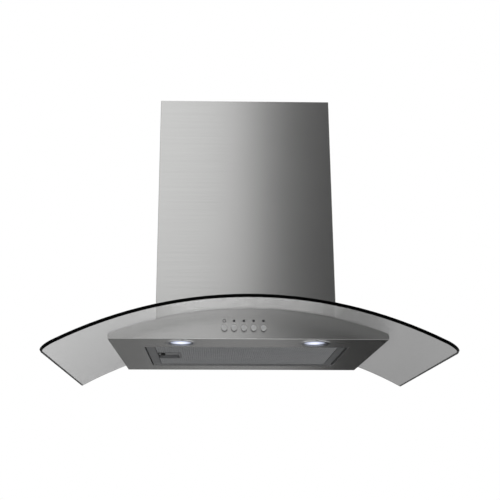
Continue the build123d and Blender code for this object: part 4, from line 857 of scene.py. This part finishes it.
class HOOD_OT_stage(Operator):
    """Camera, pale floor, soft studio lights and white surround"""

    bl_idname = "hood.stage"
    bl_label = "Stage"

    def execute(self, context):
        stage = context.scene.hood_stage
        self.set_camera(context, stage)
        self.lay_floor(stage)
        self.hang_light(
            "key_light", place=(-1.24, -3.0, 1.55), aim=(0, 1, 0), size=(2.8, 2.9), glow=stage.key_glow
        )
        self.hang_light("top_light", place=(0.0, -0.6, 2.6), aim=(0, 0, -1), size=(2.4, 1.6), glow=0.5)
        self.hang_light(
            "back_light", place=(0.7, 2.8, 1.4), aim=(-0.2, -1, -0.4), size=(2.6, 2.0), glow=0.8
        )
        self.hang_light(
            "side_light", place=(3.0, 0.4, 0.7), aim=(-1, -0.1, -0.2), size=(2.2, 2.2), glow=0.7
        )
        # Only the front panel takes this light, so that its mirror image in the glass is bright.
        self.hang_light(
            "low_light", place=(0.025, -0.95, -0.57), aim=(0, 1, 0.4), size=(0.31, 0.2), glow=1.9,
            only="canopy_front",
        )
        self.paint_surround(context)
        context.scene.view_settings.view_transform = "Standard"
        return {"FINISHED"}

    def set_camera(self, context, stage):
        """The photo's viewpoint: below the body and a little left of its middle, looking up."""
        clear_selection()
        bpy.ops.object.camera_add(
            location=stage.camera, rotation=(math.pi / 2 + stage.pitch, 0, stage.yaw)
        )
        camera = context.object
        camera.data.lens = stage.lens
        camera.data.shift_x = stage.shift_x
        camera.data.shift_y = stage.shift_y
        context.scene.camera = camera

    def lay_floor(self, stage):
        """A round pale floor that thins out towards its rim."""
        reach = stage.floor_reach
        whole, gone = 0.3 * reach, 0.98 * reach
        clear_selection()
        bpy.ops.mesh.primitive_circle_add(
            vertices=96, radius=reach, fill_type="NGON", location=(0, 0, -stage.floor_drop)
        )
        floor = bpy.context.object
        floor.name = "floor"
        bpy.ops.object.transform_apply(location=True, rotation=False, scale=False)
        material, tree, shader, place = start_material(
            "pale_floor", {"Roughness": 0.75, "Specular IOR Level": 0.2}
        )
        # Faint patches, a third of a metre across.
        mottle = noise(tree, place, 1 / 3, 4.0)["Fac"]
        vary_colour(tree, shader, mottle, linear("#e9e9e8"), linear("#f1f1f0"))
        away = vector(tree, "LENGTH", vector(tree, "MULTIPLY", place, PLAN))
        thin = spread(tree, away, whole, gone, start=1.0, end=0.0, interpolation_type="SMOOTHSTEP")
        tree.links.new(thin, shader.inputs["Alpha"])
        floor.data.materials.append(material)

    def hang_light(self, name, place, aim, size, glow, only=None):
        """A soft box that faces along aim, with the given brightness, for all pieces or only one."""
        clear_selection()
        bpy.ops.object.light_add(
            type="AREA", location=place, rotation=Vector(aim).to_track_quat("-Z", "Y").to_euler()
        )
        light = bpy.context.object
        light.name = name
        light.data.shape = "RECTANGLE"
        light.data.size, light.data.size_y = size
        # A box gives off pi times its brightness from each part of its face.
        light.data.energy = glow * math.pi * size[0] * size[1]
        light.visible_camera = False
        # A light behind the hood would show through the glass.
        light.visible_transmission = place[1] < 0
        if only:
            lit = bpy.data.collections.new(f"{name}_pieces")
            lit.objects.link(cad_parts[only])
            light.light_linking.receiver_collection = lit

    def tones_along(self, tree, heading, *stops):
        """Brightness along one part of a heading: pairs of that part, from -1 to 1, and the brightness."""
        share = spread(tree, heading, -1.0, 1.0)
        return ramp(tree, share, *(((part + 1) / 2, tone) for part, tone in stops))

    def paint_surround(self, context):
        """White to the eye, a grey backdrop through the glass, and a studio in reflections."""
        world = bpy.data.worlds.new("studio")
        world.use_nodes = True
        tree = world.node_tree
        tree.nodes.clear()
        parts = split(tree, add_node(tree, "ShaderNodeTexCoord").outputs["Generated"])
        path = add_node(tree, "ShaderNodeLightPath").outputs
        behind = spread(tree, parts["Y"], -0.2, 0.2)
        front, back = self.paint_front(tree, parts), self.paint_back(tree, parts)
        studio = blend(tree, behind, front, back, kind="FLOAT")
        # A straight ray has met nothing but glass, so it has bounced off nothing.
        bounces = number(tree, "ADD", path["Glossy Depth"], path["Diffuse Depth"])
        straight = number(tree, "LESS_THAN", bounces, 0.5)
        through = number(tree, "MULTIPLY", straight, path["Is Transmission Ray"])
        behind_glass = blend(tree, through, studio, self.paint_backdrop(tree, parts))
        shown = blend(tree, path["Is Camera Ray"], behind_glass, WHITE)
        glow = add_node(tree, "ShaderNodeBackground", {"Color": shown})
        add_node(tree, "ShaderNodeOutputWorld", {"Surface": glow.outputs["Background"]})
        context.scene.world = world

    def paint_front(self, tree, parts):
        """The studio's front half, where a dark flag stands to the right of the camera."""
        height = self.tones_along(
            tree, parts["Z"], (-1.0, 0.3), (-0.6, 0.5), (-0.1, 0.5), (0.05, 0.3), (0.3, 0.25), (0.7, 0.5),
            (1.0, 0.9),
        )
        side = self.tones_along(
            tree, parts["X"], (-1.0, 1.2), (0.0, 1.0), (0.12, 0.15), (0.3, 0.1), (0.4, 1.1), (1.0, 1.4)
        )
        return number(tree, "MULTIPLY", height, side)

    def paint_back(self, tree, parts):
        """The studio's back half: a dim room, darkest low to the right."""
        height = self.tones_along(
            tree, parts["Z"], (-1.0, 0.4), (-0.45, 0.2), (-0.15, 0.13), (0.05, 0.2), (0.3, 0.6), (1.0, 0.9)
        )
        low_side = self.tones_along(
            tree, parts["X"], (-1.0, 1.6), (-0.5, 1.0), (-0.1, 0.85), (0.0, 1.5), (0.08, 1.5), (0.13, 0.7),
            (0.15, 0.0), (0.36, 0.0), (0.4, 1.3), (0.6, 2.0), (1.0, 2.4),
        )
        above = self.tones_along(tree, parts["Z"], (0.05, 0.0), (0.2, 1.0))
        side = number(tree, "MAXIMUM", low_side, above)
        return number(tree, "MULTIPLY", height, side)

    def paint_backdrop(self, tree, parts):
        """What shows through the glass: a grey backdrop, and a small dark card right of the chimney."""
        plain = self.tones_along(tree, parts["X"], (-1.0, 0.8), (-0.2, 0.78), (0.24, 0.4), (1.0, 0.4))
        card_side = self.tones_along(
            tree, parts["X"], (0.0, 0.0), (0.1, 0.38), (0.15, 0.41), (0.18, 0.28), (0.205, 0.18),
            (0.225, 0.0),
        )
        card_height = self.tones_along(
            tree, parts["Z"], (0.17, 0.0), (0.195, 1.0), (0.24, 1.0), (0.3, 0.0)
        )
        return number(tree, "SUBTRACT", plain, number(tree, "MULTIPLY", card_side, card_height))


OPERATORS = (
    HOOD_OT_steelwork, HOOD_OT_glasswork, HOOD_OT_buttons, HOOD_OT_lamps, HOOD_OT_filter, HOOD_OT_fan,
    HOOD_OT_outlet, HOOD_OT_electrics, HOOD_OT_fasteners, HOOD_OT_stage,
)


class HOOD_PT_panel(Panel):
    """Lists the hood's pieces and what can be changed on them"""

    bl_label = "Range Hood"
    bl_idname = "HOOD_PT_panel"
    bl_space_type = "VIEW_3D"
    bl_region_type = "UI"
    bl_category = "Hood"

    def draw(self, context):
        for group in (context.scene.hood_sizes, context.scene.hood_finishes, context.scene.hood_stage):
            column = self.layout.column(align=True)
            for name in group.bl_rna.properties.keys():
                if name not in ("rna_type", "name"):
                    column.prop(group, name)
        for operator in OPERATORS:
            self.layout.operator(operator.bl_idname)


CLASSES = (HoodSizes, HoodFinishes, HoodStage, *OPERATORS, HOOD_PT_panel)


def register():
    for cls in CLASSES:
        bpy.utils.register_class(cls)
    bpy.types.Scene.hood_sizes = PointerProperty(type=HoodSizes)
    bpy.types.Scene.hood_finishes = PointerProperty(type=HoodFinishes)
    bpy.types.Scene.hood_stage = PointerProperty(type=HoodStage)


def unregister():
    del bpy.types.Scene.hood_stage
    del bpy.types.Scene.hood_finishes
    del bpy.types.Scene.hood_sizes
    for cls in reversed(CLASSES):
        bpy.utils.unregister_class(cls)


def main():
    register()
    bpy.ops.hood.steelwork()
    bpy.ops.hood.glasswork()
    bpy.ops.hood.buttons()
    bpy.ops.hood.lamps()
    bpy.ops.hood.filter()
    bpy.ops.hood.fan()
    bpy.ops.hood.outlet()
    bpy.ops.hood.electrics()
    bpy.ops.hood.fasteners()
    bpy.ops.hood.stage()


if __name__ == "__main__":
    main()
